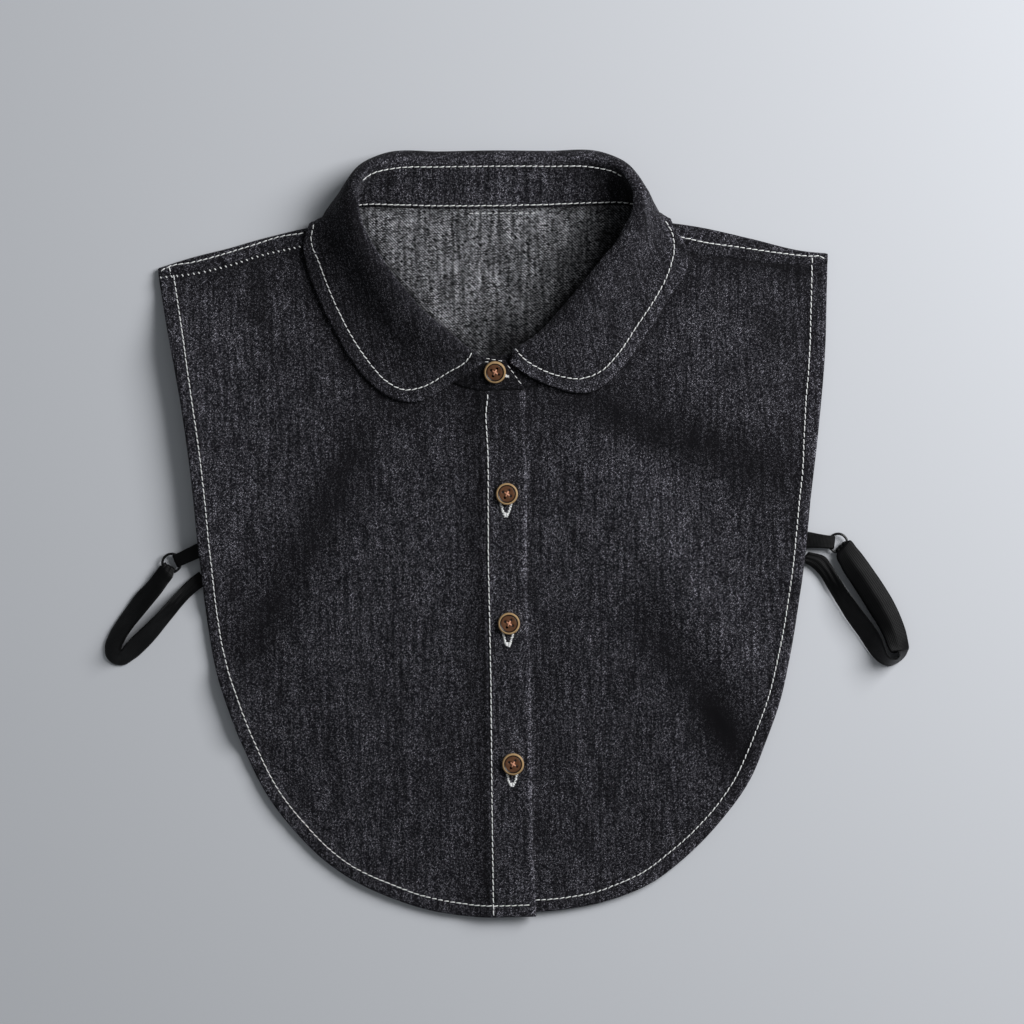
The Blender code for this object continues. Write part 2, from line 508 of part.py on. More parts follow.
def shoulder_rows(fold_rows, seam_rows, count):
    """Rows of points along one shoulder, from the back's edge round the fold to the front seam."""
    fold, seam = drawn(fold_rows, count=count), drawn(seam_rows, count=count)
    out = left_of(fold)
    if np.mean(out[:, 1]) < 0:
        out = -out
    under = fold - out * (FRONT_LIFT + DENIM) / 2
    low = tuck(under[:, 0], under[:, 1]) + DENIM / 2
    high = lie(under[:, 0], under[:, 1]) + DENIM / 2
    rows = []
    for turn in (-90.0, -30.0, 30.0, 90.0):
        angle = math.radians(turn)
        plan = under + out * FRONT_LIFT / 2 * math.cos(angle)
        rows.append(np.column_stack([plan, (low + high) / 2 + (high - low) / 2 * math.sin(angle)]))
    for share in (0.5, 1.0):
        plan = under + (seam - under) * share
        rows.append(np.column_stack([plan, lie(plan[:, 0], plan[:, 1]) + DENIM / 2]))
    return rows


def back_panel(neck):
    """The back: a flat field, with the shoulder strips turned up and over on to the front."""
    edge = drawn(np.vstack([OVER_EDGE[:-1], UNDER_EDGE[-2::-1]]), step=9.0)
    from_tip = lengths_along(edge)
    from_tip = np.minimum(from_tip, from_tip[-1] - from_tip)
    edge = (edge + left_of(edge) * BACK_INSET * ease(from_tip / 15.0)[:, None])[1:-1]
    shoulders = [shoulder_rows(LEFT_FOLD, LEFT_SEAM, 12), shoulder_rows(RIGHT_FOLD, RIGHT_SEAM, 12)]
    left_base, right_base = (rows[0][:, :2] for rows in shoulders)
    low_side = min(left_base[-1][1], right_base[-1][1]) + 2.0
    neck = neck[(neck[:, 1] > low_side) & (np.abs(neck[:, 0]) < 78.0)]
    loop = np.vstack([edge, right_base, neck[::-1], left_base[::-1]])
    rise = [np.array([(x, y) for x in np.linspace(-112.0, 112.0, 13)]) for y in (145.0, 152.0, 159.0)]
    plan, triangles = triangulated(loop, rise, 20.0, 7.0)
    points = [np.column_stack([plan, tuck(plan[:, 0], plan[:, 1]) + DENIM / 2])]
    count = len(plan)
    for rows, flip in zip(shoulders, (False, True)):
        before = [int(np.argmin(np.linalg.norm(plan - place, axis=1))) for place in rows[0][:, :2]]
        for row in rows[1:]:
            after = list(range(count, count + len(row)))
            points.append(row)
            count += len(row)
            for k in range(len(row) - 1):
                first, second = (k + 1, k) if flip else (k, k + 1)
                triangles.append((before[first], before[second], after[second]))
                triangles.append((before[first], after[second], after[first]))
            before = after
    made = wall("back_panel", np.vstack(points), triangles, DENIM / 2, DENIM / 2)
    finish(made, DENIM_COLOUR, 0.9)


def collar_stand():
    """The stand: a band that rises from the neckline and leans towards the back."""
    neck, top, _, outward, _, _ = along_neck()
    rows = [neck + (top - neck) * share + outward * STAND_BULGE * math.sin(math.pi * share)
            for share in np.linspace(0.0, 1.0, 4)]
    points, triangles = woven_grid(np.stack(rows, axis=1))
    made = wall("collar_stand", points, triangles, STAND / 2, STAND / 2)
    finish(made, DENIM_COLOUR, 0.9)


def stand_top(points, neck, top):
    """Height of the stand's outer face below each point of a grid, whose rows go with those of the stand."""
    along = (top - neck)[:, None, :]
    flat = np.sum(along[..., :2] ** 2, axis=-1)
    share = np.sum((points[..., :2] - neck[:, None, :2]) * along[..., :2], axis=-1) / flat
    lean = np.linalg.norm(along, axis=-1) / np.sqrt(flat)
    face = neck[:, None, 2] + share * along[..., 2] + lean * (STAND / 2 + STAND_BULGE * np.sin(np.pi * share))
    return np.where((share > 0.0) & (share < 1.0), face, 0.0)


def clear_of_fold(points, fold_rows):
    """Move the leaf's points out of the space round a shoulder fold, away from the fold's axis."""
    fold = drawn(fold_rows, step=6.0)
    out = left_of(fold)
    if np.mean(out[:, 1]) < 0:
        out = -out
    axis = fold - out * (FRONT_LIFT + DENIM) / 2
    middle = (tuck(axis[:, 0], axis[:, 1]) + lie(axis[:, 0], axis[:, 1]) + DENIM) / 2
    reach = FRONT_LIFT / 2 + DENIM / 2 + LEAF / 2 + LEAF_GAP + FOLD_ROOM
    for point in points.reshape(-1, 3):
        nearest = int(np.argmin(np.linalg.norm(axis - point[:2], axis=1)))
        if np.linalg.norm(axis[nearest] - point[:2]) > 7.0:
            continue
        across = float((point[:2] - axis[nearest]) @ out[nearest])
        above = point[2] - middle[nearest]
        distance = math.hypot(across, above)
        if distance < reach:
            push = reach / max(distance, 0.2) - 1.0
            point[:2] += out[nearest] * across * push
            point[2] += above * push
    return points


def collar_leaf():
    """The leaf: rolled over the top of the stand, laid on the fronts, and turned under at the shoulders and back."""
    neck, top, rising, outward, on_leaf, columns = along_neck()
    neck, top, rising, outward = neck[on_leaf], top[on_leaf], rising[on_leaf], outward[on_leaf]
    reach, curl, laid = columns[:, 0:1], columns[:, 1:2], columns[:, 8:9]
    fall, edge = columns[:, 2:5], columns[:, 5:8]
    between = (fall + edge) / 2
    between[:, 2] = edge[:, 2] + LEAF_SAG * (fall[:, 2] - edge[:, 2])
    start = top + rising * (LEAF_START + SEAM_GAP)
    shapes = np.stack([
        start,
        start + rising * (reach - SEAM_GAP) + outward * curl,
        start + outward * 2 * curl,
        fall,
        between,
        edge,
    ], axis=1)
    places = np.arange(0.5, 5.1, 0.5)
    grid = [[first - up * SEAM_GAP, first] for first, up in zip(start, rising)]
    for line, shape in zip(grid, shapes):
        knots = lengths_along(shape)
        line.extend(hermite(knots, shape, np.interp(places, np.arange(6), knots)))
    grid = np.array(grid)
    x, y, z = grid[..., 0], grid[..., 1], grid[..., 2]
    below = np.maximum(lie(x, y) + np.where(x < 0, overlap(x), 0.0) + DENIM, stand_top(grid, neck, top))
    lowest = below + LEAF_GAP + LEAF / 2
    raised = lowest + SOFT * np.logaddexp(0.0, (z - lowest) / SOFT)
    grid[..., 2] = np.where((laid > 0.5) & (np.arange(grid.shape[1]) > 5), raised, z)
    for fold_rows in (LEFT_FOLD, RIGHT_FOLD):
        clear_of_fold(grid, fold_rows)
    grid[..., 2] = np.maximum(grid[..., 2], LEAF / 2)
    points, triangles = woven_grid(grid)
    made = wall("collar_leaf", points, triangles, LEAF / 2, LEAF / 2)
    finish(made, DENIM_COLOUR, 0.9)


def circle(x, y, radius, sides):
    """Points round a circle."""
    turns = np.arange(sides) * math.tau / sides
    return np.column_stack([x + radius * np.cos(turns), y + radius * np.sin(turns)])


def button(name, x, y, cloth, lean):
    """A turned button with a raised rim and four holes, on the cloth at the given height."""
    rings = [circle(0.0, 0.0, radius, 20) for radius, _ in BUTTON_PROFILE]
    spread = (-BUTTON_HOLE_PLACE, BUTTON_HOLE_PLACE)
    centres = [(across, along) for across in spread for along in spread]
    holes = [circle(*centre, BUTTON_HOLE_RADIUS, 6) for centre in centres]
    lines = [np.vstack([line, line[:1]]) for line in rings[1:] + holes]
    plan, triangles = triangulated(rings[0], lines, 40.0, 1.0)
    middles = plan[np.array(triangles)].mean(axis=1)
    to_hole = np.min([np.linalg.norm(middles - centre, axis=1) for centre in centres], axis=0)
    triangles = [face for face, distance in zip(triangles, to_hole) if distance > BUTTON_HOLE_RADIUS * 0.7]
    radii, heights = zip(*BUTTON_PROFILE[::-1])
    rises = np.interp(np.linalg.norm(plan, axis=1), radii, heights)
    made = wall(name, np.column_stack([plan, np.zeros(len(plan))]), triangles, rises, BUTTON_BELOW)
    seat = cloth + BUTTON_SHANK + BUTTON_BELOW
    tilt = Matrix.Rotation(math.radians(lean), 4, "X") @ Matrix.Rotation(math.radians(BUTTON_TURN), 4, "Z")
    made.data.transform(Matrix.Translation((x * MM, y * MM, seat * MM)) @ tilt)
    finish(made, BUTTON_COLOUR, 0.35)


def ring(name, centre):
    """A flat ring of round wire."""
    around, section = 24, 6
    points = []
    for i in range(around):
        turn = math.tau * i / around
        for j in range(section):
            lean = math.tau * j / section
            radius = RING_RADIUS + WIRE_RADIUS * math.cos(lean)
            points.append((centre[0] + radius * math.cos(turn), centre[1] + radius * math.sin(turn),
                           RING_HEIGHT + WIRE_RADIUS * math.sin(lean)))
    faces = []
    for i in range(around):
        for j in range(section):
            a, b = i * section + j, (i + 1) % around * section + j
            c, d = (i + 1) % around * section + (j + 1) % section, i * section + (j + 1) % section
            faces += [(a, b, c), (a, c, d)]
    made = solid(name, points, faces)
    finish(made, RING_COLOUR, 0.3)


def hairpin(centre, heading, width, thickness):
    """Rows of a tape that comes along under a ring's wire, turns round it and goes back above it.

    heading points from the ring's centre along the tape.
    """
    radius = WIRE_RADIUS + WIRE_GAP + thickness / 2
    start = math.sqrt(RING_RADIUS**2 - (width / 2) ** 2) - WIRE_GAP
    rows = []
    for turn in range(-90, 91, 30):
        angle = math.radians(turn)
        place = centre + heading * (start - radius * math.cos(angle))
        rows.append(tape_row(place, heading, width, RING_HEIGHT + radius * math.sin(angle)))
    return rows


def tape_row(place, heading, width, z):
    """Two edges and the middle of a flat tape, at a place along it."""
    across = np.array([-heading[1], heading[0]]) * width / 2
    return [(*(place + across * share), z) for share in (1.0, 0.0, -1.0)]


def strap_row(ox, oy, ix, iy, z, lean, ridge):
    """Outer edge, middle and inner edge of an elastic strap at a row of its table."""
    rise = lean * math.sqrt(max(ELASTIC_WIDTH**2 - (ox - ix) ** 2 - (oy - iy) ** 2, 0.0)) / 2
    return [(ox, oy, z - rise), ((ox + ix) / 2, (oy + iy) / 2, z + ridge), (ix, iy, z + rise)]


def ribbon(name, rows, thickness, step):
    """A tape through rows of three points across it."""
    rows = np.array(rows, float).reshape(-1, 9)
    knots = lengths_along(rows[:, :3])
    samples = hermite(knots, rows, places_at(knots, np.diff(knots), step))
    points, triangles = woven_grid(samples.reshape(-1, 3, 3))
    made = wall(name, points, triangles, thickness / 2, thickness / 2)
    finish(made, ELASTIC_COLOUR, 0.6)


def side_fastening(side):
    """A tab of tape, its ring, and the elastic strap that runs from the ring back to the side edge."""
    centre = np.array(RINGS[side])
    ring("ring_" + side, centre)
    end, (width, height) = np.array(TABS[side][:2]), TABS[side][2:]
    heading = (end - centre) / np.linalg.norm(end - centre)
    bend = hairpin(centre, heading, TAB_WIDTH, TAPE)
    ribbon("tab_" + side, [tape_row(end, heading, width, height), *bend,
                           tape_row(end, heading, width, height + TAB_LAYERS)], TAPE, 6.0)
    run = [strap_row(*row) for row in STRAPS[side]]
    heading = np.array(run[0][1][:2]) - centre
    heading /= np.linalg.norm(heading)
    bend = hairpin(centre, heading, STRAP_RING_WIDTH, ELASTIC)
    tail = tape_row(centre + heading * STRAP_TAIL, heading, STRAP_RING_WIDTH, STRAP_TAIL_HEIGHT)
    if side == "left":
        tail, bend = tail[::-1], [row[::-1] for row in bend]
    ribbon("strap_" + side, [tail, *bend, *run], ELASTIC, 5.0)


def build():
    """Make every piece."""
    for old in list(bpy.data.objects):
        bpy.data.objects.remove(old, do_unlink=True)
    over_neck, under_neck, back_neck = necklines()
    back_panel(back_neck)
    front("front_over", OVER_EDGE, LEFT_SEAM, OVER_CENTRE, PLACKET_LEFT, over_neck)
    front("front_under", UNDER_EDGE, RIGHT_SEAM, UNDER_CENTRE, PLACKET_RIGHT, under_neck)
    collar_stand()
    collar_leaf()
    for number, (x, y, cloth, lean) in enumerate(BUTTONS, 1):
        button(f"button_{number}", x, y, cloth, lean)
    for side in ("left", "right"):
        side_fastening(side)


build()
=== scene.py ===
import math

import bmesh
import bpy
import numpy as np
from mathutils import Matrix, Vector, noise
from mathutils.bvhtree import BVHTree
from mathutils.geometry import delaunay_2d_cdt


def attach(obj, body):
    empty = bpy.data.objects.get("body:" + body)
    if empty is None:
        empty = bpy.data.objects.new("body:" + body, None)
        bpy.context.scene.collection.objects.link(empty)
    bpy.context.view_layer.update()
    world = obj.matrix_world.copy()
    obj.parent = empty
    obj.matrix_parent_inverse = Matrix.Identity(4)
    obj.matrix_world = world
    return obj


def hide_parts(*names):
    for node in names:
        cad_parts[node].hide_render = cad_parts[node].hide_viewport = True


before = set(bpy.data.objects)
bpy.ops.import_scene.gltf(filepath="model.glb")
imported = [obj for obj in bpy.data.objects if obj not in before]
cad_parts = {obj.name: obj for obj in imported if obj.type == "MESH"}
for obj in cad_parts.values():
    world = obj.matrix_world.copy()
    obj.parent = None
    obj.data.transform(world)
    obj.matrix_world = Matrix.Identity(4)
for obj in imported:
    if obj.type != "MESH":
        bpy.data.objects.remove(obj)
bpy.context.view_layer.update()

# A detachable collar of dark denim, buttoned up and lying on its back. Sizes are in millimetres until a mesh
# is made. +X is to the right, +Y towards the neck and +Z up; "left" and "right" are the -X and the +X side.

# --- Back panel ---------------------------------------------------------------------------------------------
# One piece of black denim that lies with its right side down, so its paler wrong side shows inside the neck.
# Its shoulder edges turn over and are sewn to the fronts a little below the shoulder line, with a topstitched
# row.
MM = 0.001
DENIM = 1.1  # thickness of the cloth
STAND = 1.8  # thickness of the collar stand
COVER = 0.08  # room between two pieces at a seam
FRONT_LIFT = 1.9  # underside of a front above the underside of the back
TUCK = 2.6  # rise of the back, near the neck, over the leaf that lies under it
STRAP_LIFT = 2.1  # rise of a side edge over the strap and the tab
SOFT = 0.35  # rounding of the lowest folds
BACK_INSET = 2.5  # from the fronts' edges in to the back's
OVER_EDGE = (
    (-167.5, 144.2), (-165.2, 129.6), (-160.6, 103.6), (-156.5, 77.6), (-151.4, 32.7), (-148.9, 0.1),
    (-146, -29.8), (-142.1, -53), (-137.5, -68.5), (-130.7, -87.6), (-116.1, -118), (-104.6, -133.2),
    (-90.3, -148), (-75.3, -158.7), (-58, -167.1), (-39.8, -173.5), (-19.9, -177.2), (15.1, -177.9),
)
UNDER_EDGE = (
    (166.1, 144.3), (165.4, 127.3), (164.5, 105.9), (160.8, 67.1), (155.6, 27.2), (150.6, -12.6),
    (143.6, -52.5), (138.8, -72.4), (131.5, -92.3), (122.7, -112.2), (107.9, -132.1), (88.2, -151.4),
    (74.6, -161.4), (51.8, -170.6), (28.6, -174.9), (-5.9, -176),
)
LEFT_FOLD = ((-168, 148.7), (-150.3, 153.9), (-132.7, 158), (-115.1, 162.7), (-90.1, 167.8), (-81.8, 169.2))
LEFT_SEAM = ((-167.5, 144.6), (-149.3, 146.5), (-132.2, 150.2), (-115.3, 155.2), (-97.2, 158.8),
             (-80.1, 162.5))
RIGHT_FOLD = ((166.5, 150.3), (155.6, 151.5), (127.7, 158.5), (105.4, 163.9), (88.5, 166.6), (82.4, 167.4))
RIGHT_SEAM = ((166.1, 144.6), (155.4, 144.8), (133.5, 146.4), (113.1, 149.2), (94.2, 152.1), (78.8, 155.1))
# The collar by stations along the neck, from the left front end round the back to the right front end. n:
# neckline; t: top of the stand; reach and curl: how far the leaf goes on and the radius at which it turns; b:
# where the leaf comes down; e: its edge; laid: 1 where it lies on a front.
#  nx ny nz, tx ty tz, reach, curl, bx by bz, ex ey ez, laid
COLLAR = (
    (-7, 84.7, 5.3, -9.2, 101.8, 8.6, 0.9, 1.35, -7.9, 100.1, 10.9, -6.5, 98.4, 10.5, 1),
    (-13.9, 85.9, 3.9, -14.4, 104.6, 8.6, 1, 1.4, -15, 98.5, 9.8, -15.4, 92.6, 8.3, 1),
    (-22.4, 89.1, 2.8, -20.6, 109.9, 9.2, 1.2, 1.5, -24.3, 95.6, 8.2, -26.9, 85.8, 4.4, 1),
    (-30.9, 94.5, 2.8, -28.3, 116.4, 10.2, 1.2, 1.5, -34, 96.2, 7.4, -38.4, 80, 4.4, 1),
    (-38.4, 100.5, 2.8, -34.8, 121.9, 11.4, 1.2, 1.5, -42.8, 99.3, 7, -49.3, 80.7, 4.4, 1),
    (-45.4, 107.4, 2.8, -41.1, 129.4, 12.6, 1.2, 1.5, -51.5, 106.1, 7, -60, 86.9, 4.4, 1),
    (-52.4, 115, 2.8, -47.5, 137.3, 14, 1.2, 1.5, -60.1, 116.1, 7.2, -70.3, 98.5, 4.4, 1),
    (-59.9, 124.8, 2.8, -53.9, 146.3, 15.5, 1.2, 1.5, -67.8, 128.8, 7.6, -79.1, 114.2, 4.4, 1),
    (-67.4, 137.3, 2.8, -59.7, 155.5, 17.5, 1.2, 1.5, -74.6, 141.6, 8.4, -86.7, 129.7, 4.4, 1),
    (-72.7, 147.8, 2.9, -63.7, 163.1, 19, 1.2, 1.5, -79.5, 154.8, 9.4, -93.1, 147.1, 4.6, 1),
    (-76.3, 156.6, 4.3, -66.1, 170.3, 20.3, 1.2, 1.5, -81.7, 165.6, 10.5, -94.6, 159.9, 6.6, 1),
    (-78.3, 163, 5.2, -66.7, 174, 20.8, 1.2, 1.5, -82.4, 170, 10.6, -93.1, 165, 7.2, 1),
    (-79.5, 168, 5.2, -67, 177.4, 21.2, 1.2, 1.45, -81.6, 173.4, 10.2, -90.9, 168.8, 4.2, 0),
    (-80.2, 171.4, 4.2, -67.1, 180.2, 21.5, 1.2, 1.4, -82, 176.3, 6.2, -88.7, 167.5, 0.9, 0),
    (-77.8, 174.5, 3.2, -67.2, 183, 21.3, 1.2, 1.4, -77.9, 181.2, 5, -84.5, 167.1, 0.8, 0),
    (-73.3, 176.9, 3.2, -65.3, 189.2, 19.8, 1, 1.4, -69.8, 189.4, 5.2, -76.5, 167.7, 0.8, 0),
    (-64.9, 178, 3.2, -60.5, 194.7, 16.6, 1.2, 2, -62.7, 195.6, 3.2, -66.5, 167.9, 0.8, 0),
    (-50.9, 177.2, 3.2, -49.5, 198.3, 13, 2.1, 4.6, -50.4, 197.2, 1.1, -50, 167.9, 0.8, 0),
    (-27.9, 176.1, 3.2, -26.8, 199.1, 10.8, 2, 4.7, -27, 196.4, 0.8, -27, 167.9, 0.8, 0),
    (1, 175.6, 3.2, 1, 199.1, 10, 2.4, 4.5, 1, 196.4, 0.8, 1, 167.9, 0.8, 0),
    (28, 175.8, 3.2, 27.9, 198.4, 10.8, 2, 4.7, 28, 195.9, 0.8, 28, 167.9, 0.8, 0),
    (50.9, 176.5, 3.2, 50.1, 197.1, 13, 2, 4.6, 51, 196, 1.1, 50.5, 167.5, 0.8, 0),
    (65.9, 176.7, 3.2, 61.5, 193.1, 16.6, 1.2, 2, 63.6, 193.9, 3.2, 67, 167.1, 0.8, 0),
    (73.9, 175.3, 3.2, 66.4, 187.6, 19.8, 1, 1.4, 70.3, 187.1, 5.2, 75.5, 166.7, 0.8, 0),
    (78.4, 172.7, 3.2, 68.9, 182.7, 21.3, 1.2, 1.4, 75.4, 180.6, 5, 81.5, 166.5, 0.8, 0),
    (80.4, 169.8, 4.2, 69.7, 180.1, 21.5, 1.2, 1.4, 80, 175.3, 6.2, 85.2, 166.8, 0.9, 0),
    (80, 166.5, 5.2, 69.8, 177.1, 21.2, 1.2, 1.45, 80.1, 172.1, 10.2, 87.4, 168.1, 4.2, 0),
    (79, 161.6, 5.2, 69.7, 173.8, 20.8, 1.2, 1.5, 80.2, 168.4, 10.6, 90, 164.1, 7.2, 1),
    (77, 156.1, 4.3, 68.9, 170.1, 20.3, 1.2, 1.5, 81.5, 162.5, 10.5, 94.1, 157.4, 6.6, 1),
    (73.4, 148.3, 2.9, 65.3, 163.2, 19, 1.2, 1.5, 80.1, 153.2, 9.4, 96.3, 144.7, 4.6, 1),
    (67.9, 138.3, 2.8, 60.2, 154.4, 17.2, 1.2, 1.5, 74.6, 140.4, 8.4, 86.1, 128.3, 4.4, 1),
    (60.4, 126.3, 2.8, 54.3, 147.6, 15.2, 1.2, 1.5, 66.7, 128.9, 7.6, 76.8, 113.4, 4.4, 1),
    (52.9, 116.6, 2.8, 47.9, 140.1, 13.6, 1.2, 1.5, 58.8, 118.2, 7.2, 67.3, 100.5, 4.4, 1),
    (45.9, 108.9, 2.8, 41.5, 132.3, 12, 1.2, 1.5, 50.4, 108.4, 7, 57.4, 89.6, 4.4, 1),
    (38.9, 101.4, 2.8, 35.5, 125.3, 10.6, 1.2, 1.5, 42.4, 102.3, 7, 48.4, 83.6, 4.4, 1),
    (31.5, 94.8, 2.8, 28.5, 117.4, 9.2, 1.2, 1.5, 34.1, 98.1, 7, 38.4, 83, 4.4, 1),
    (23.5, 89.3, 2.8, 21, 110.2, 8, 1.2, 1.5, 25.1, 95.9, 7.2, 27.9, 86.2, 4.4, 1),
    (15.5, 86, 2.9, 13.8, 105.6, 7, 1, 1.4, 15.2, 98, 8.2, 16, 91.7, 6.9, 1),
    (8, 84.7, 3.1, 8.4, 103, 6.9, 0.9, 1.35, 7.8, 100.9, 9.4, 6.9, 98.3, 9, 1),
)
STAND_OVER_END = ((14.2, 84.9, 5.4, 4.4, 99.4, 8.5), (4, 84.9, 5.4, -1.8, 101.2, 8.6))
STAND_UNDER_END = ((1, 84.7, 3.1, 3, 102, 6.3), (-6, 84.7, 3.1, -3.5, 101.5, 6.2))
# Soft folds of the cloth: ax, ay and bx, by at the ends, bow sideways, half width, and rise, or fall with -
CREASES = (
    (-52, 74, -123, -46, -5, 13, -2.3), (-62, 82, -120, 48, 3, 13, 2.2),
    (-42, 72, -40, 46, 0, 6, -1.2), (-24, 78, -22, 54, 0, 5, -0.9),
    (-33, 66, -34, 0, 2, 9, 1.1), (-96, 22, -112, -52, 6, 14, 1.3),
    (-121, 140, -117, 117, 0, 5, -1.1), (-75, -82, -77, -152, 0, 6, 0.7),
    (-55, -84, -57, -156, 0, 5, -0.6), (50, 78, 146, 16, 6, 13, -2.4),
    (37, 62, 124, -70, 6, 14, 2.4), (68, -22, 118, -96, -3, 12, -1.7),
    (92, 74, 140, 70, 3, 13, 1.4), (140, 138, 143, 106, 0, 8, -1.3),
    (103, 140, 101, 106, 0, 9, 1), (65, -70, 62, -146, 0, 6, -0.7),
    (25, -12, 24, -136, 0, 6, -0.8), (92, -60, 76, -140, 3, 9, 0.9),
    (-163, 128, -149, 5, 0, 26, 8.5), (-140, -52, -129, -90, 0, 12, 3),
)


def ease(amount):
    """Smooth step from 0 to 1."""
    held = np.clip(amount, 0.0, 1.0)
    return held * held * (3.0 - 2.0 * held)


def bump(amount, width):
    """1 at 0, falling away softly to both sides."""
    return np.exp(-((amount / width) ** 2))


def unit(rows):
    """The same directions, each of length 1."""
    return rows / np.maximum(np.linalg.norm(rows, axis=-1, keepdims=True), 1e-9)


def hermite(knots, rows, at):
    """Values at the given places on a smooth curve that passes through the rows at the knots."""
    knots, rows, at = np.asarray(knots, float), np.asarray(rows, float), np.asarray(at, float)
    spans = np.diff(knots)[:, None]
    slopes = np.diff(rows, axis=0) / spans
    between = (slopes[:-1] * spans[1:] + slopes[1:] * spans[:-1]) / (spans[:-1] + spans[1:])
    tangents = np.vstack([slopes[:1], between, slopes[-1:]])
    first = np.clip(np.searchsorted(knots, at, side="right") - 1, 0, len(knots) - 2)
    span = spans[first]
    t = ((at - knots[first])[:, None]) / span
    start, end = rows[first], rows[first + 1]
    return (start * (2 * t**3 - 3 * t**2 + 1) + tangents[first] * span * (t**3 - 2 * t**2 + t)
            + end * (3 * t**2 - 2 * t**3) + tangents[first + 1] * span * (t**3 - t**2))


def lengths_along(points):
    """Distance along a polyline to each of its points."""
    steps = np.linalg.norm(np.diff(np.asarray(points, float), axis=0), axis=1)
    return np.concatenate([[0.0], np.cumsum(steps)])


def at_places(along, rows, wanted):
    """Rows at wanted places along a line."""
    return np.column_stack([np.interp(wanted, along, rows[:, axis]) for axis in range(rows.shape[1])])


def drawn(rows, step=None, count=None):
    """Points a step apart, or a count of points, on a smooth curve through the rows."""
    rows = np.asarray(rows, float)
    knots = lengths_along(rows)
    fine = hermite(knots, rows, np.linspace(0.0, knots[-1], 40 * len(rows)))
    along = lengths_along(fine)
    return at_places(along, fine, np.linspace(0.0, along[-1], count or max(2, round(along[-1] / step) + 1)))


def left_of(line):
    """Unit vectors to the left of a line in plan, one at each of its points."""
    along = np.gradient(line[:, :2], axis=0)
    return unit(np.column_stack([-along[:, 1], along[:, 0]]))


def nearest_on(line, points):
    """Distance from each point to a polyline, and how far along it the nearest place lies."""
    nearest = np.full(points.shape[:-1], np.inf)
    place = np.zeros(points.shape[:-1])
    for start, end, before in zip(line[:-1], line[1:], lengths_along(line)):
        side = end - start
        share = np.clip(((points - start) @ side) / (side @ side), 0.0, 1.0)
        distance = np.linalg.norm(points - start - share[..., None] * side, axis=-1)
        place = np.where(distance < nearest, before + share * np.linalg.norm(side), place)
        nearest = np.minimum(nearest, distance)
    return nearest, place


def uneven(x, y, size, seed):
    """Smooth unevenness between about -1 and 1, with waves of the given size."""
    spots = zip(np.ravel(x) / size, np.ravel(y) / size)
    return np.array([noise.noise((a, b, seed)) for a, b in spots]).reshape(np.shape(x)) * 1.6


def ripple(x, y):
    """Slight unevenness of cloth that has been washed and laid flat."""
    return 0.22 * uneven(x, y, 24.0, 2.5) + 0.08 * uneven(x, y, 9.0, 4.5)


def strokes(rows, x, y):
    """Sum at x, y of soft strokes, each with its two ends, its bow, its width and its strength."""
    total = np.zeros(np.shape(x))
    for ax, ay, bx, by, bow, width, strength in rows:
        length = math.hypot(bx - ax, by - ay)
        ux, uy = (bx - ax) / length, (by - ay) / length
        along = ((x - ax) * ux + (y - ay) * uy) / length
        across = (y - ay) * ux - (x - ax) * uy - 4.0 * bow * along * (1.0 - along)
        ends = ease((along + 0.15) / 0.35) * ease((1.15 - along) / 0.35)
        total = total + strength * ends * bump(across, width)
    return total


def folds(x, y):
    """Height of the soft folds at x, y."""
    wide = 1.5 * np.exp(-((np.abs(x) - 78.0) / 48.0) ** 2 - ((y + 15.0) / 85.0) ** 2)
    return wide + strokes(CREASES, x, y)


def tuck(x, y):
    """Rise of the back, near the neck, over the leaf that is folded under it."""
    return TUCK * ease((y - 146.0) / 20.0) * ease((114.0 - np.abs(x)) / 22.0)


def lie(x, y):
    """Height of the underside of the fronts, leaving out the overlap."""
    middle = np.where(x < 0, 0.0, 3.0)
    strap_rise = STRAP_LIFT * ease((27.0 - np.abs(y - middle)) / 14.0) * ease((np.abs(x) - 124.0) / 18.0)
    return FRONT_LIFT + tuck(x, y) + strap_rise + SOFT * np.logaddexp(0.0, folds(x, y) / SOFT) + ripple(x, y)


def triangulated(loop, lines, spacing, clear):
    """Triangles that fill a closed outline, with edges along the lines and evenly spread points between."""
    chains = [np.vstack([loop, loop[:1]])] + list(lines)
    points, edges = list(loop), [(i, (i + 1) % len(loop)) for i in range(len(loop))]
    for chain in lines:
        edges.extend((len(points) + i, len(points) + i + 1) for i in range(len(chain) - 1))
        points.extend(chain)
    low, high = loop.min(axis=0), loop.max(axis=0)
    rows = np.arange(low[1], high[1], spacing * math.sqrt(3.0) / 2.0)
    grid = np.array([(x + (spacing / 2 if number % 2 else 0.0), y) for number, y in enumerate(rows)
                     for x in np.arange(low[0], high[0], spacing)])
    inside = np.zeros(len(grid), bool)
    for start, end in zip(chains[0][:-1], chains[0][1:]):
        spans = (start[1] > grid[:, 1]) != (end[1] > grid[:, 1])
        rise = end[1] - start[1] if end[1] != start[1] else 1.0
        inside ^= spans & (grid[:, 0] < start[0] + (grid[:, 1] - start[1]) / rise * (end[0] - start[0]))
    for chain in chains:
        inside &= nearest_on(chain, grid)[0] > clear
    points.extend(grid[inside])
    found = delaunay_2d_cdt([Vector(point) for point in points], edges, [], 1, 1e-4)
    return np.array([tuple(vert) for vert in found[0]]), np.array([tuple(face) for face in found[2]])


def surface_normals(points, triangles):
    """Unit normal of a surface at each of its points."""
    corners = points[triangles]
    faces = np.cross(corners[:, 1] - corners[:, 0], corners[:, 2] - corners[:, 0])
    normals = np.zeros_like(points)
    for corner in range(3):
        np.add.at(normals, triangles[:, corner], faces)
    return unit(normals)


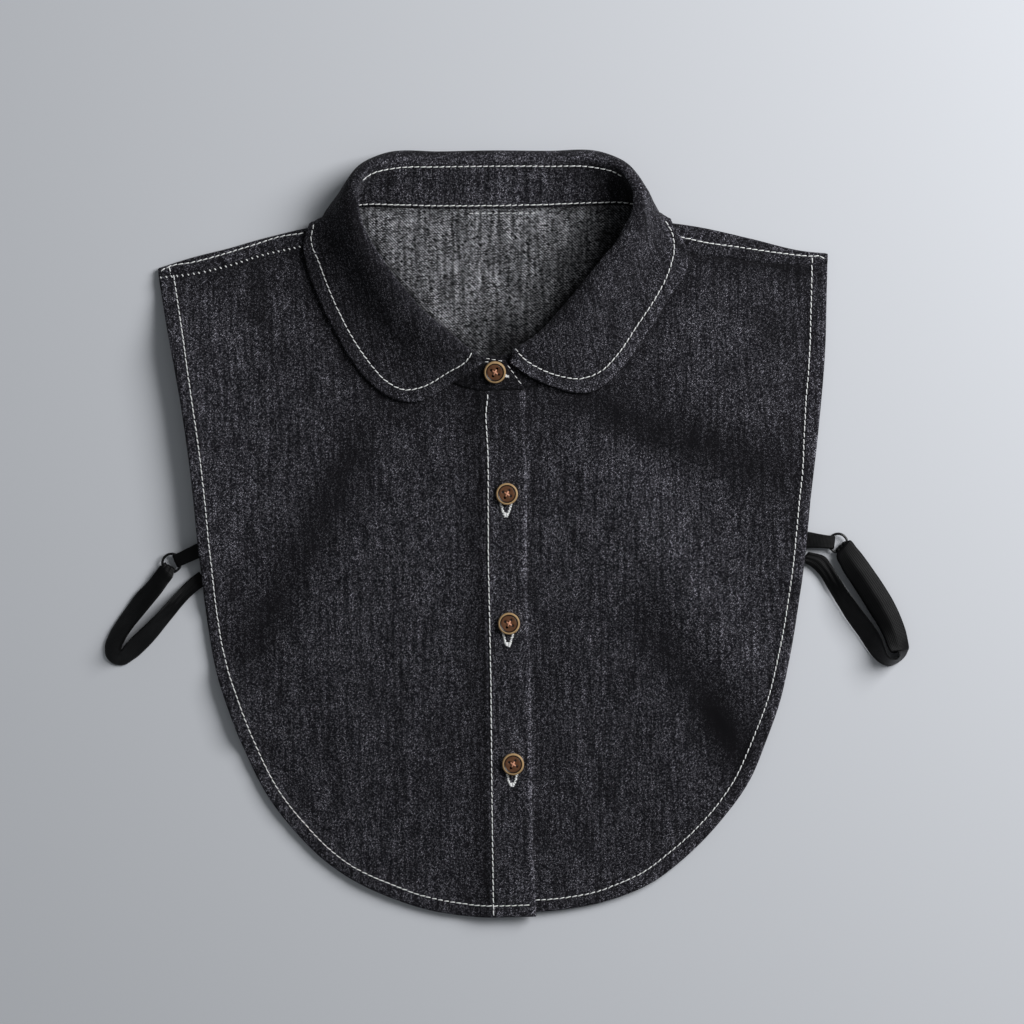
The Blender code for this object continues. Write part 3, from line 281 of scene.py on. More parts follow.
def made_mesh(name, points, faces, materials):
    """A smooth piece of the object from points in millimetres."""
    mesh = bpy.data.meshes.new(name)
    mesh.from_pydata((np.asarray(points) * MM).tolist(), [], faces)
    for material in materials:
        mesh.materials.append(material)
    mesh.shade_smooth()
    made = bpy.data.objects.new(name, mesh)
    bpy.context.scene.collection.objects.link(made)
    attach(made, "root")
    return made


def cloth(name, points, triangles, above, below, weave, wear_and_shade, materials):
    """A closed shell on the middle surface of a piece of cloth, with a rounded rim.

    above and below are how far its two sides lie from that surface. weave is the place of each point on the
    cloth's own threads, in millimetres, and the next argument how much its surface is rubbed, with painted
    shade and painted light mixed in, which darken or lighten its colour. The first material goes on the upper
    side, the last on the lower side and the rim.
    """
    count = len(points)
    normals = surface_normals(points, triangles)
    above, below, wear_and_shade = (np.broadcast_to(part, count).astype(float) for part in (above, below, wear_and_shade))
    sides = {(face[i], face[(i + 1) % 3]) for face in triangles.tolist() for i in range(3)}
    rim = np.array(sorted(side for side in sides if side[::-1] not in sides))
    edge = np.unique(rim)
    out = np.zeros((count, 3))
    across = unit(np.cross(points[rim[:, 1]] - points[rim[:, 0]], normals[rim[:, 0]]))
    for corner in range(2):
        np.add.at(out, rim[:, corner], across)
    above[edge] *= 0.6
    below[edge] *= 0.6
    middle = np.zeros(count, int)
    middle[edge] = 2 * count + np.arange(len(edge))
    shell = np.vstack([points + normals * above[:, None], points - normals * below[:, None],
                       (points + unit(out) * 0.16)[edge]])
    a, b = rim[:, 0], rim[:, 1]
    quads = np.vstack([np.column_stack([b, a, middle[a], middle[b]]),
                       np.column_stack([middle[b], middle[a], a + count, b + count])])
    made = made_mesh(name, shell, triangles.tolist() + (triangles[:, ::-1] + count).tolist() + quads.tolist(),
                     materials)
    aside = weave[b] - weave[a]
    aside = unit(np.column_stack([aside[:, 1], -aside[:, 0]])) * DENIM / 2
    rims = [np.stack([weave[b] + aside * p, weave[a] + aside * p, weave[a] + aside * (p + 1),
                      weave[b] + aside * (p + 1)], axis=1).reshape(-1, 2) for p in (0, 1)]
    places = np.vstack([weave[triangles].reshape(-1, 2), weave[triangles[:, ::-1]].reshape(-1, 2), *rims])
    made.data.uv_layers.new(name="weave").data.foreach_set("uv", places.ravel())
    rubbed = made.data.attributes.new(name="wear_and_shade", type="FLOAT", domain="POINT")
    rubbed.data.foreach_set("value", np.concatenate([wear_and_shade, wear_and_shade, wear_and_shade[edge]]))
    kinds = np.full(len(triangles) * 2 + len(quads), len(materials) - 1)
    kinds[:len(triangles)] = 0
    made.data.polygons.foreach_set("material_index", kinds)
    return made


def linear(code, share=1.0):
    """Linear colour of an sRGB hex code, or that share of it."""
    parts = [int(code[i:i + 2], 16) / 255.0 for i in (1, 3, 5)]
    parts = [part / 12.92 if part <= 0.04045 else ((part + 0.055) / 1.055) ** 2.4 for part in parts]
    return (*(share * part for part in parts), 1.0)


def add(tree, kind, inputs=(), **settings):
    """A node with its settings; each input is a value, or a socket that is linked to it."""
    node = tree.nodes.new("ShaderNode" + kind)
    for name, value in settings.items():
        setattr(node, name, value)
    for name, value in dict(inputs).items():
        if isinstance(value, bpy.types.NodeSocket):
            tree.links.new(value, node.inputs[name])
        else:
            node.inputs[name].default_value = value
    return node


def new_material(name):
    """An empty material and the tree to build it in."""
    material = bpy.data.materials.new(name)
    material.use_nodes = True
    material.node_tree.nodes.clear()
    return material, material.node_tree


def surface(tree, inputs):
    """The shader, linked to the material's output."""
    shader = add(tree, "BsdfPrincipled", inputs)
    add(tree, "OutputMaterial", {0: shader.outputs[0]})


def sums(tree, operation, first, second, **settings):
    """A sum on two values or sockets."""
    return add(tree, "Math", {0: first, 1: second}, operation=operation, **settings).outputs[0]


def denim(name, warp, weft, shown, twill, thread, wandering, power, least, strongest):
    """Woven 2/1 twill of black warp over grey weft, 26 by 25 threads to the centimetre, as a light denim has.

    shown is the number of crossings in three at which the weft lies on top: 1 on the right side, and 2 on the
    wrong side, where each run of weft is one fleck. twill says which way its lines lean, thread is the width
    of one thread, wandering how far the threads wander and power how few of the flecks are bright. Washing
    has rubbed them unevenly, from least to strongest, in soft patches about a centimetre wide, and in streaks
    along the warp about 2 mm wide.
    """
    material, tree = new_material(name)
    place = add(tree, "UVMap", uv_map="weave").outputs[0]
    wander = add(tree, "TexNoise", {"Vector": place, "Scale": 0.25, "Detail": 3.0}, noise_dimensions="2D")
    wander = add(tree, "VectorMath", {0: wander.outputs[1], 1: (0.5, 0.5, 0.5)}, operation="SUBTRACT")
    threads_at = add(tree, "VectorMath", {0: wander.outputs[0], 1: (wandering, wandering, 0.0), 2: place},
                     operation="MULTIPLY_ADD").outputs[0]
    warp_at, weft_at, _ = add(tree, "SeparateXYZ", {0: threads_at}).outputs
    turns = [sums(tree, "DIVIDE", warp_at, thread), sums(tree, "DIVIDE", weft_at, 1.04 * thread)]
    numbers = [sums(tree, "FLOOR", turn, 0.0) for turn in turns]
    inside = [sums(tree, "PINGPONG", turn, 0.5) for turn in turns]
    line = sums(tree, twill, *numbers)
    on_top = sums(tree, "LESS_THAN", sums(tree, "FLOORED_MODULO", line, 3.0), shown - 0.5)
    run = sums(tree, "FLOOR", sums(tree, "DIVIDE", line, 3.0 if shown > 1 else 1.0), 0.0)
    run = add(tree, "CombineXYZ", {0: run, 1: numbers[1]}).outputs[0]
    chance = add(tree, "TexWhiteNoise", {"Vector": run}, noise_dimensions="2D").outputs[0]
    patches = add(tree, "TexNoise", {"Vector": place, "Scale": 0.09, "Detail": 4.0}, noise_dimensions="2D")
    rubbed = add(tree, "MapRange", {"Value": patches.outputs[0], "From Min": 0.33, "From Max": 0.70,
                                    "To Min": least, "To Max": strongest}).outputs[0]
    # The point attribute read here holds how rubbed the cloth is, with painted shade and painted light mixed
    # in: it darkens or lightens the dye and the flecks.
    wear_and_shade = add(tree, "Attribute", attribute_name="wear_and_shade").outputs["Fac"]
    fleck = sums(tree, "MULTIPLY", sums(tree, "POWER", chance, power),
                 add(tree, "MapRange", {"Value": on_top, "To Min": 0.04 if shown > 1 else 0.35}).outputs[0])
    streak = add(tree, "Mapping", {"Vector": place, "Scale": (0.55, 0.04, 1.0)}).outputs[0]
    streak = add(tree, "TexNoise", {"Vector": streak, "Scale": 1.0, "Detail": 3.0}, noise_dimensions="2D")
    streak = add(tree, "MapRange", {"Value": streak.outputs[0], "From Min": 0.3, "From Max": 0.7,
                                    "To Min": 0.2, "To Max": 0.8}).outputs[0]
    streak = sums(tree, "MULTIPLY", streak, wear_and_shade)
    fleck = sums(tree, "MULTIPLY", fleck, sums(tree, "MULTIPLY", rubbed, sums(tree, "MULTIPLY", streak, 2.0)),
                 use_clamp=True)
    dyed = add(tree, "Mix", {0: streak, 6: linear(warp, 0.55), 7: linear(warp, 1.5)},
               data_type="RGBA").outputs[2]
    colour = add(tree, "Mix", {0: fleck, 6: dyed, 7: linear(weft)}, data_type="RGBA").outputs[2]
    raised = add(tree, "Bump", {"Height": sums(tree, "ADD", *inside), "Strength": 0.5,
                                "Distance": 0.15 * MM}).outputs[0]
    surface(tree, {"Base Color": colour, "Roughness": 0.92, "Normal": raised, "Specular IOR Level": 0.15,
                   "Sheen Weight": 0.04, "Sheen Roughness": 0.5})
    return material


# Black denim, washed once. The right side is nearly black with pale points of weft; the wrong side is mid
# grey, and its twill leans the other way. The wrong side's threads are drawn a fifth wider than they are, so
# that they show.
RIGHT_SIDE = denim("black_denim_right_side", "#0f0e13", "#bdbbc7", 1, "SUBTRACT", 0.385, 1.2, 4.2, 0.42, 0.66)
WRONG_SIDE = denim("black_denim_wrong_side", "#050507", "#dcdce2", 2, "ADD", 0.47, 0.45, 1.0, 0.42, 0.72)


def along_neck(step):
    """Samples along the neck, from the stand's upper end round the back to its lower end.

    Gives the neckline and the top of the stand, its rising direction, its outward side, which samples have
    leaf on them, and for those the leaf's own columns.
    """
    rows = np.array(STAND_OVER_END + tuple(row[:6] for row in COLLAR) + STAND_UNDER_END)
    leaf_rows = np.array(COLLAR)[:, 6:]
    with_leaf = slice(len(STAND_OVER_END), len(rows) - len(STAND_UNDER_END))
    knots = lengths_along(rows[:, 3:6])
    edge = rows[:, :2].copy()
    edge[with_leaf] = leaf_rows[:, 5:7]
    longest = np.maximum(np.diff(knots), np.linalg.norm(np.diff(edge, axis=0), axis=1))
    places = np.concatenate([np.linspace(start, end, max(1, math.ceil(length / step)), endpoint=False)
                             for start, end, length in zip(knots[:-1], knots[1:], longest)] + [knots[-1:]])
    samples = hermite(knots, rows, places)
    neck, top = samples[:, :3], samples[:, 3:]
    rising = unit(top - neck)
    outward = unit(np.cross(rising, np.gradient(top, places, axis=0)))
    on_leaf = (places >= knots[with_leaf][0]) & (places <= knots[with_leaf][-1])
    return neck, top, rising, outward, on_leaf, hermite(knots[with_leaf], leaf_rows, places[on_leaf])


def outward_of(fold):
    """Unit vectors in plan that point out of the cloth at a shoulder fold."""
    out = left_of(fold)
    return -out if np.mean(out[:, 1]) < 0 else out


def shoulder_rows(fold_rows, seam_rows):
    """Rows of points along one shoulder, from the back's edge round the fold to the front seam."""
    fold, seam = drawn(fold_rows, count=90), drawn(seam_rows, count=90)
    out = outward_of(fold)
    under = fold - out * (FRONT_LIFT + DENIM) / 2
    low = tuck(under[:, 0], under[:, 1]) + DENIM / 2
    high = lie(under[:, 0], under[:, 1]) + DENIM / 2
    rows = []
    for angle in np.radians(np.linspace(-90.0, 90.0, 9)):
        plan = under + out * FRONT_LIFT / 2 * math.cos(angle)
        rows.append(np.column_stack([plan, (low + high) / 2 + (high - low) / 2 * math.sin(angle)]))
    for share in np.linspace(0.0, 1.0, 9)[1:]:
        plan = under + (seam - under) * share
        raised = 0.35 * math.sin(math.pi * min(1.0, share * 1.1))
        rows.append(np.column_stack([plan, lie(plan[:, 0], plan[:, 1]) + DENIM / 2 + raised]))
    return rows


# The outline runs down the left edge, round the hem, up the right edge, and back along the shoulders and the
# neck. Lines beside the collar's two rolls are drawn into the mesh, so that the painted shade there has a
# crisp edge.
neck, top, _, outward, _, _ = along_neck(2.5)
side = left_of(neck) * (COVER + STAND / 2 * np.linalg.norm(outward[:, :2], axis=1))[:, None]
over_neck = (neck[:, :2] + side)[:len(neck) // 2]
under_neck = (neck[:, :2] + side)[len(neck) // 2:][::-1]
back_neck = neck[:, :2] - side
edge = drawn(np.vstack([OVER_EDGE[:-1], UNDER_EDGE[-2::-1]]), step=4.0)
from_tip = lengths_along(edge)
from_tip = np.minimum(from_tip, from_tip[-1] - from_tip)
edge = (edge + left_of(edge) * BACK_INSET * ease(from_tip / 15.0)[:, None])[1:-1]
shoulders = [shoulder_rows(LEFT_FOLD, LEFT_SEAM), shoulder_rows(RIGHT_FOLD, RIGHT_SEAM)]
left_base, right_base = (rows[0][:, :2] for rows in shoulders)
low_side = min(left_base[-1][1], right_base[-1][1]) + 2.0
back_neck = back_neck[(back_neck[:, 1] > low_side) & (np.abs(back_neck[:, 0]) < 78.0)]
loop = np.vstack([edge, right_base, back_neck[::-1], left_base[::-1]])
rolls = [top[(side * top[:, 0] > 16.0) & (top[:, 1] > 106.0) & (top[:, 1] < 184.0), :2] for side in (-1, 1)]
beside = [roll - left_of(roll) * depth for roll in rolls for depth in (1.0, 2.1, 3.2)]
plan, faces = triangulated(loop, beside, 2.6, 0.9)
points, weave, faces = [np.column_stack([plan, tuck(*plan.T) + DENIM / 2])], [plan], [faces]
count = len(plan)

# The strips that turn over at the shoulders, row after row from the back's own points.
for rows, flip in zip(shoulders, (False, True)):
    before = np.array([int(np.argmin(np.linalg.norm(plan - place, axis=1))) for place in rows[0][:, :2]])
    out, across = outward_of(rows[0]), np.zeros(len(before))
    for row, previous in zip(rows[1:], rows[:-1]):
        across = across + np.linalg.norm(row - previous, axis=1)
        after = count + np.arange(len(row))
        count += len(row)
        points.append(row)
        weave.append(rows[0][:, :2] + out * across[:, None])
        ends = (slice(1, None), slice(None, -1)) if flip else (slice(None, -1), slice(1, None))
        a, b, c, d = before[ends[0]], before[ends[1]], after[ends[1]], after[ends[0]]
        faces.extend([np.column_stack([a, b, c]), np.column_stack([a, c, d])])
        before = after
points, faces = np.vstack(points), np.vstack(faces)
LEFT_SHOULDER_STITCH = ((-166.6, 147), (-163.5, 148.8), (-150.3, 151.2), (-119, 159.6), (-107.4, 163),
                        (-94.5, 164.6))
RIGHT_SHOULDER_STITCH = ((92.1, 159.7), (105.5, 156.6), (122.3, 154), (139.9, 151.1), (157.9, 148.8),
                         (163.6, 148.5), (165.4, 146.3))

# The shoulder strips are rubbed unevenly, with painted shade along their stitches and their fold.
# Painted shade darkens the wrong side beside the rolls, most on the right, along the stand, above the
# placket and in the upper right corner, where the collar shades it.
x, y, flat = points[:, 0], points[:, 1], points[:, :2]
on_strip = ease((points[:, 2] - DENIM - FRONT_LIFT) / 0.6)
channel, rope = np.zeros(len(points)), uneven(x, 0.2 * y, 2.6, 5.5)
for rows in (LEFT_SHOULDER_STITCH, RIGHT_SHOULDER_STITCH):
    channel = np.maximum(channel, bump(nearest_on(drawn(rows, step=3.0), flat)[0], 0.7) * on_strip)
fold_lines = [drawn(rows, step=4.0) for rows in (LEFT_FOLD, RIGHT_FOLD)]
from_fold = np.minimum(*[nearest_on(line, flat)[0] for line in fold_lines])
from_left, from_right, from_neck = (nearest_on(line, flat)[0] for line in (*rolls, neck[:, :2]))
shade = (0.8 * bump(np.minimum(from_left, from_right) - 2.1, 1.0) + 0.75 * bump(from_right, 29.0)
         + 0.5 * bump(from_neck, 1.8) + 0.45 * bump(np.hypot(x, y - 104.0), 16.0)
         + 0.3 * bump(np.hypot(x - 52.0, y - 170.0), 16.0))
back_wear_and_shade = (1.08 - np.minimum(shade, 0.94)) * (1.0 + 0.1 * uneven(x, 0.3 * y, 9.0, 3.5))
strip_wear_and_shade = 1.0 + 0.3 * rope - 0.4 * channel - 0.55 * bump(from_fold, 1.6)
wear_and_shade = back_wear_and_shade * (1.0 - on_strip) + strip_wear_and_shade * on_strip
above = DENIM / 2 + (0.16 * rope - 0.2 * channel) * on_strip
back_panel = cloth("back_panel_cloth", points, faces, above, DENIM / 2, np.vstack(weave), wear_and_shade,
                   (WRONG_SIDE, RIGHT_SIDE))
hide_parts("back_panel")

# White topstitching thread, spun polyester: a slightly glossy round thread, three millimetres to a stitch.
THREAD, tree = new_material("white_polyester_thread")
surface(tree, {"Base Color": linear("#fdfdfc"), "Roughness": 0.55, "Specular IOR Level": 0.4})
chances = np.random.default_rng(12)


def threads(name, starts, ends, normals, width, lift, material):
    """Short runs of thread in one mesh, each arched a little off the cloth and sunk into it at its ends."""
    starts, ends, normals = (np.asarray(part, float) for part in (starts, ends, normals))
    along = ends - starts
    aside = unit(np.cross(normals, along))
    up = unit(np.cross(along, aside))
    places = np.array([0.0, 0.03, 0.14, 0.5, 0.86, 0.97, 1.0])[None, :, None]
    sizes = np.array([0.2, 0.75, 1.0, 1.0, 1.0, 0.75, 0.2])[None, :, None, None] * width / 2
    lifts = np.array([-0.9, -0.3, 0.6, 1.0, 0.6, -0.3, -0.9])[None, :, None] * lift
    turns = np.arange(6) * math.tau / 6
    centre = starts[:, None] + along[:, None] * places + up[:, None] * lifts
    round_it = aside[:, None, None] * np.cos(turns)[:, None] + up[:, None, None] * np.sin(turns)[:, None]
    points = (centre[:, :, None] + sizes * round_it).reshape(-1, 3)
    around = [(side, (side + 1) % 6) for side in range(6)]
    one = [(6 * row + a, 6 * row + b, 6 * row + 6 + b, 6 * row + 6 + a)
           for row in range(6) for a, b in around]
    one += [(5, 4, 3, 2, 1, 0), (36, 37, 38, 39, 40, 41)]
    faces = [tuple(corner + 42 * number for corner in face) for number in range(len(starts)) for face in one]
    return made_mesh(name, points, faces, [material])


def sew(name, lines, pitch=3.1, length=2.8, width=0.55, slant=7.0, lift=0.26):
    """A topstitch along lines, each given as points on the cloth and the cloth's normals there."""
    starts, ends, normals = [], [], []
    for points, ups in lines:
        along = lengths_along(points)
        middles = np.arange(pitch / 2, along[-1] - length / 2, pitch)
        middles = middles + chances.uniform(-0.12, 0.12, len(middles))
        reach = length / 2 * chances.uniform(0.88, 1.1, len(middles))
        first = at_places(along, points, middles - reach)
        last = at_places(along, points, middles + reach)
        up = unit(at_places(along, ups, middles))
        turn = np.tan(np.radians(slant + chances.uniform(-4.0, 4.0, len(middles)))) * reach
        aside = unit(np.cross(up, last - first)) * turn[:, None]
        starts.append(first - aside)
        ends.append(last + aside)
        normals.append(up)
    return threads(name, np.vstack(starts), np.vstack(ends), np.vstack(normals), width, lift, THREAD)


def laid_on(piece, plan):
    """Points and normals of a piece's upper side straight above a line in plan."""
    mesh = piece.data
    faces = [tuple(face.vertices) for face in mesh.polygons]
    tree = BVHTree.FromPolygons([vert.co for vert in mesh.vertices], faces)
    hits = [tree.ray_cast(Vector((x * MM, y * MM, 0.1)), Vector((0.0, 0.0, -1.0))) for x, y in plan]
    hits = [(tuple(hit[0] / MM), tuple(hit[1])) for hit in hits if hit[0] is not None]
    return np.array([hit[0] for hit in hits]), np.array([hit[1] for hit in hits])


UP_THE_STRIPS = (((-161.3, 144.8), (-162.6, 150.6)), ((158.5, 145.2), (158.9, 151.2)))
UNDER_THE_STAND = ((-12.7, 173.2), (5, 173), (23.8, 172.7))
shoulder_lines = [laid_on(back_panel, drawn(rows, step=1.0))
                  for rows in (LEFT_SHOULDER_STITCH, RIGHT_SHOULDER_STITCH, *UP_THE_STRIPS)]
back_sewing = sew("back_shoulder_stitches", shoulder_lines)
neck_line = laid_on(back_panel, drawn(UNDER_THE_STAND, step=1.0))
back_row = sew("back_neck_stitches", [neck_line], width=0.36, length=2.0)

# --- Left front of the wearer, on the right -----------------------------------------------------------------
# Black denim with its right side up. Its side and lower edges are turned under and sewn down as a narrow hem,
# its centre edge is turned under as a wide placket that lies below the other front's, and its top is sewn to
# the stand.
TURNED = 0.8  # what a turning adds to the thickness
OVERLAP = 2.3  # rise of the upper front over the lower one
# Painted light and shade of the fronts' folds: paler on the ridges, darker in the valleys and below the
# shoulder seams: from x, y, to x, y, bow, half width, and how much paler.
FOLD_SHADING = (
    (31.7, 81, 162, 35, 0, 12.5, -0.6), (61, -17, 131, -112, 0, 15, -0.62),
    (46.7, 51.7, 134, -54.9, 0, 15, 0.24), (130.5, 124.8, 138, 102.6, 0, 6, -0.45),
    (152.8, 142.4, 154.6, 129.3, 0, 4, -0.4), (78, 128, 118, 100, 0, 16, 0.3),
    (104, -66, 119, -118, 0, 12, -0.25), (99, 155.5, 158.7, 141, 0, 4.5, -0.4),
    (-60, 86, -136, -62, 3, 12, -0.58), (-43, 45, -36, -40, 0, 8, 0.18),
    (-119.7, 151.1, -116.8, 117, 0, 6, -0.45),
    (-108, 137, -106, 107, 0, 5, 0.28), (-55, 65, -58, 35, 0, 6, 0.32),
    (-51, -35, -52, -125, 0, 3, -0.2), (-38, -30, -37, -130, 0, 3, -0.2),
    (-44, -30, -44, -130, 0, 3, 0.15), (-96, -60, -84, -110, 0, 5, -0.2),
    (25, 60, 24, -20, 0, 3.5, 0.2), (20, 60, 19, -150, 0, 3, -0.2),
    (58, -60, 54, -140, 0, 4, -0.2),
)
UNDER_CENTRE = ((-5.9, -176.2), (-5.9, 84.1))


def overlap(x):
    """Rise of the upper front as it climbs on to the lower one."""
    return OVERLAP * ease((x + 21.0) / 14.0)


def front(name, edge_rows, seam_rows, centre_rows, placket_stitch, hem_rows, hem_end, neck):
    """One front with its hem and placket, and the lines along which both are sewn.

    placket_stitch is the row of stitches that holds the turned-under placket. hem_rows gives how far the
    hem's row lies from the edge, by the distance from the shoulder, and hem_end the x at which it stops.
    """
    placket = drawn(centre_rows, step=3.0)
    corner = placket[-1]
    side = 1.0 if corner[0] > placket_stitch[0][0] else -1.0
    seam = drawn(seam_rows, step=3.0)[::-1] - (0.0, COVER)
    edge = drawn(edge_rows, step=2.2)
    edge[0], edge[-1] = seam[-1], placket[0]
    neck = neck[(neck[:, 1] < seam[0][1] - 2.0) & (side * neck[:, 0] < side * corner[0] - 2.0)]
    loop = np.vstack([edge, placket[1:], neck, seam[:-1]])
    along_seam = unit(seam[-2] - seam[-1])
    rows = np.array(placket_stitch)
    at_edge = lengths_along(edge)
    hem_width = np.interp(at_edge, *np.array(hem_rows).T)
    lines = []
    for depths in (0.9, 2.4, hem_width - 1.7, hem_width - 0.7, hem_width + 0.7, hem_width + 1.7, hem_width):
        depths = np.broadcast_to(depths, len(edge))
        line = edge + left_of(edge) * depths[:, None] * side
        line[0] = seam[-1] + along_seam * depths[0]
        line[-1] = (corner[0] - side * 0.5, placket[0][1] + depths[-1])
        lines.append(line[1:-1])
    hem = line
    low, high = placket[0][1] + 1.0, corner[1] - 1.0
    for shift in (1.0, 0.0, -1.0, -1.8, -2.8):
        y = np.arange(low, high, 2.4)
        lines.append(np.column_stack([np.interp(y, rows[:, 1], rows[:, 0]) + side * shift, y]))
    for depth in (1.0, 2.6):
        lines.append((placket + left_of(placket) * depth * side)[1:-1])
    plan, triangles = triangulated(loop, lines, 2.3, 0.75)
    x, y = plan.T
    depth, along = nearest_on(edge, plan)
    hem_depth = depth - np.interp(along, at_edge, hem_width)
    on_placket = side * (x - np.interp(y, rows[:, 1], rows[:, 0]))
    from_seam, _ = nearest_on(seam, plan)
    from_fold, _ = nearest_on(placket, plan)
    turned = np.maximum(ease((on_placket + 2.8) / 1.0), ease((1.7 - hem_depth) / 1.0))
    channel = np.maximum(bump(hem_depth, 0.6), bump(on_placket, 0.6))
    in_hem = ease(-hem_depth / 1.5)
    rope = uneven(along + 0.7 * depth, 0.25 * depth, 4.2, 1.5)
    pucker = uneven(x * 0.3, y, 4.0, 6.5) * bump(on_placket - 2.6, 2.2)
    above = (DENIM / 2 + TURNED * turned - 0.32 * channel + 0.26 * rope * in_hem + 0.14 * pucker
             + 0.3 * bump(from_seam - 2.2, 1.8))
    # Rubbed pale at the hem's edge, along the hem's ropes and on the placket's fold. Painted shade darkens
    # the stitch grooves, the valleys of the folds, the cloth below the shoulder seam, beside the leaf's edge
    # and round the top button, and painted light brightens the ridges of the folds, here and through the fold
    # table.
    wear_and_shade = (1.0 + 0.9 * bump(depth - 0.3, 1.3) * (0.6 + 0.5 * rope) + 0.4 * in_hem * np.maximum(rope, 0.0)
            + 1.5 * bump(from_fold - 0.3, 1.0) - 0.7 * channel + 0.4 * bump(on_placket - 2.0, 0.9)
            + 0.15 * np.clip(folds(x, y) / 1.6 - 0.3, -1.0, 0.9) + strokes(FOLD_SHADING, x, y)
            - 0.45 * bump(from_seam, 4.0))
    from_leaf, _ = nearest_on(drawn(np.array(COLLAR)[:, 11:13], step=5.0), plan)
    wear_and_shade *= 1.0 - 0.5 * bump(from_leaf, 5.0 + 5.0 * ease((95.0 - y) / 20.0))
    wear_and_shade *= 1.0 - 0.6 * bump(np.hypot(x - 2.0, y - 85.0), 19.0)
    # Painted shade beside the upper front's row of placket stitches; the placket itself a little paler.
    if side > 0:
        wear_and_shade *= 1.0 - 0.35 * bump(on_placket + 4.5, 3.5) + 0.12 * ease(on_placket)
    base = lie(x, y) + (overlap(x) if side > 0 else 0.0)
    made = cloth(name, np.column_stack([x, y, base + DENIM / 2]), triangles, above, DENIM / 2, plan, wear_and_shade,
                 (RIGHT_SIDE,))
    held = [laid_on(made, at_places(rows[:, 1][::-1], rows[::-1], np.arange(rows[-1, 1], rows[0, 1], 1.5)))]
    held.append(laid_on(made, hem[side * hem[:, 0] < side * hem_end]))
    return made, held


UNDER_PLACKET = ((12, 83), (12, -174.5))
UNDER_HEM = ((0, 7.7), (70, 7.6), (88, 6.8), (105, 5.4), (180, 5.4), (210, 6), (255, 6.8), (285, 6.2),
             (320, 7.1), (350, 6.3), (365, 5.6), (400, 6))
front_under, held = front("front_under_cloth", UNDER_EDGE, RIGHT_SEAM, UNDER_CENTRE, UNDER_PLACKET, UNDER_HEM,
                          12.5, under_neck)
under_sewing = sew("front_under_stitches", held)
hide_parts("front_under")

# --- Right front of the wearer, on the left -----------------------------------------------------------------
# The same cloth and making. It lies on top: its placket carries the buttonholes and is buttoned on the other
# one.
OVER_CENTRE = ((15.1, -177.9), (14.3, -152.3), (14.3, -58.6), (13.4, -4.7), (14.2, 41.7), (13.6, 70.7),
               (14.4, 84.3))
OVER_PLACKET = ((-4, 85.5), (-5.6, 72), (-5.2, 64.5), (-4.8, 52), (-4.9, 42), (-5.5, 0), (-5.3, -60),
                (-5.8, -120), (-6, -177.3))
OVER_HEM = ((0, 7.4), (20, 7.2), (35, 6.8), (48, 6.1), (65, 5.6), (185, 5.3), (210, 6), (290, 6.2),
            (325, 5.8), (345, 6.3), (400, 5.8))
front_over, held = front("front_over_cloth", OVER_EDGE, LEFT_SEAM, OVER_CENTRE, OVER_PLACKET, OVER_HEM, 14.9,
                         over_neck)
shoulder_ticks = laid_on(front_over, drawn(np.array(LEFT_SEAM) - (0.0, 0.9), step=1.5))
over_sewing = sew("front_over_stitches", held)
over_ticks = sew("front_over_shoulder_ticks", [shoulder_ticks], pitch=2.75, length=0.75, width=0.62,
                 slant=-57.0)
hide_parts("front_over")

# --- Collar stand -------------------------------------------------------------------------------------------
# A band of two layers of the same denim, sewn round the neckline. It leans back, so its inner face shows,
# slightly crumpled at the centre back; its two ends lap at the centre front. A row of stitches runs along its
# lower edge, and one along its upper edge at the back.
STAND_BULGE = 0.5
STAND_COLUMNS = 24  # steps of the mesh from the neckline to the top
LOWER_STITCH, UPPER_STITCH = 0.055, 0.87  # the two rows of stitches, as shares of the way up
UPPER_ROW_FROM = 188.5  # y beyond which the upper row is sewn
STAND_CREASES = ((-53, 1.4, 0.7), (-40, 1.8, 0.7), (-20.5, 2, 0.7), (-3.5, 1.2, 1.1), (8.6, 1.6, 0.6),
                 (16.1, 2, 0.7), (33.1, 2.2, 0.7))  # x, half width, depth


def grid_triangles(rows, columns):
    """Triangles of a grid of points, rows by columns."""
    a = (np.arange(rows - 1)[:, None] * columns + np.arange(columns - 1)).ravel()
    b, c, d = a + columns, a + columns + 1, a + 1
    return np.vstack([np.column_stack([a, b, c]), np.column_stack([a, c, d])])


def grid_cloth(name, grid, above, below, weave, wear_and_shade, materials):
    """A piece of cloth on a grid of points, with the points and normals of its upper side."""
    rows, columns = grid.shape[:2]
    above, below, wear_and_shade = (np.broadcast_to(part, (rows, columns)).ravel() for part in (above, below, wear_and_shade))
    points, triangles = grid.reshape(-1, 3), grid_triangles(rows, columns)
    made = cloth(name, points, triangles, above, below, weave.reshape(-1, 2), wear_and_shade, materials)
    normals = surface_normals(points, triangles).reshape(grid.shape)
    return made, grid + normals * above.reshape(rows, columns, 1), normals


def grid_line(face, normals, at):
    """The line across all rows of a grid at the given column place of each, with its normals."""
    at = np.broadcast_to(at, len(face))
    first = np.clip(at.astype(int), 0, face.shape[1] - 2)
    share = (at - first)[:, None]
    rows = np.arange(len(face))
    return tuple(part[rows, first] * (1 - share) + part[rows, first + 1] * share for part in (face, normals))


neck, top, rising, outward, on_leaf, columns = along_neck(1.8)
shares = np.linspace(0.0, 1.0, STAND_COLUMNS + 1)
bulges = STAND_BULGE * np.sin(np.pi * shares)
grid = np.stack([neck + (top - neck) * share + outward * bulge
                 for share, bulge in zip(shares, bulges)], axis=1)
x, y, z = grid[..., 0], grid[..., 1], grid[..., 2]
crumple = sum(depth * bump(x - middle - 1.5 * (shares - 0.5), width)
              for middle, width, depth in STAND_CREASES)
crumple = crumple * ease((y - 172.0) / 4.0) * np.sin(np.pi * shares) ** 0.7
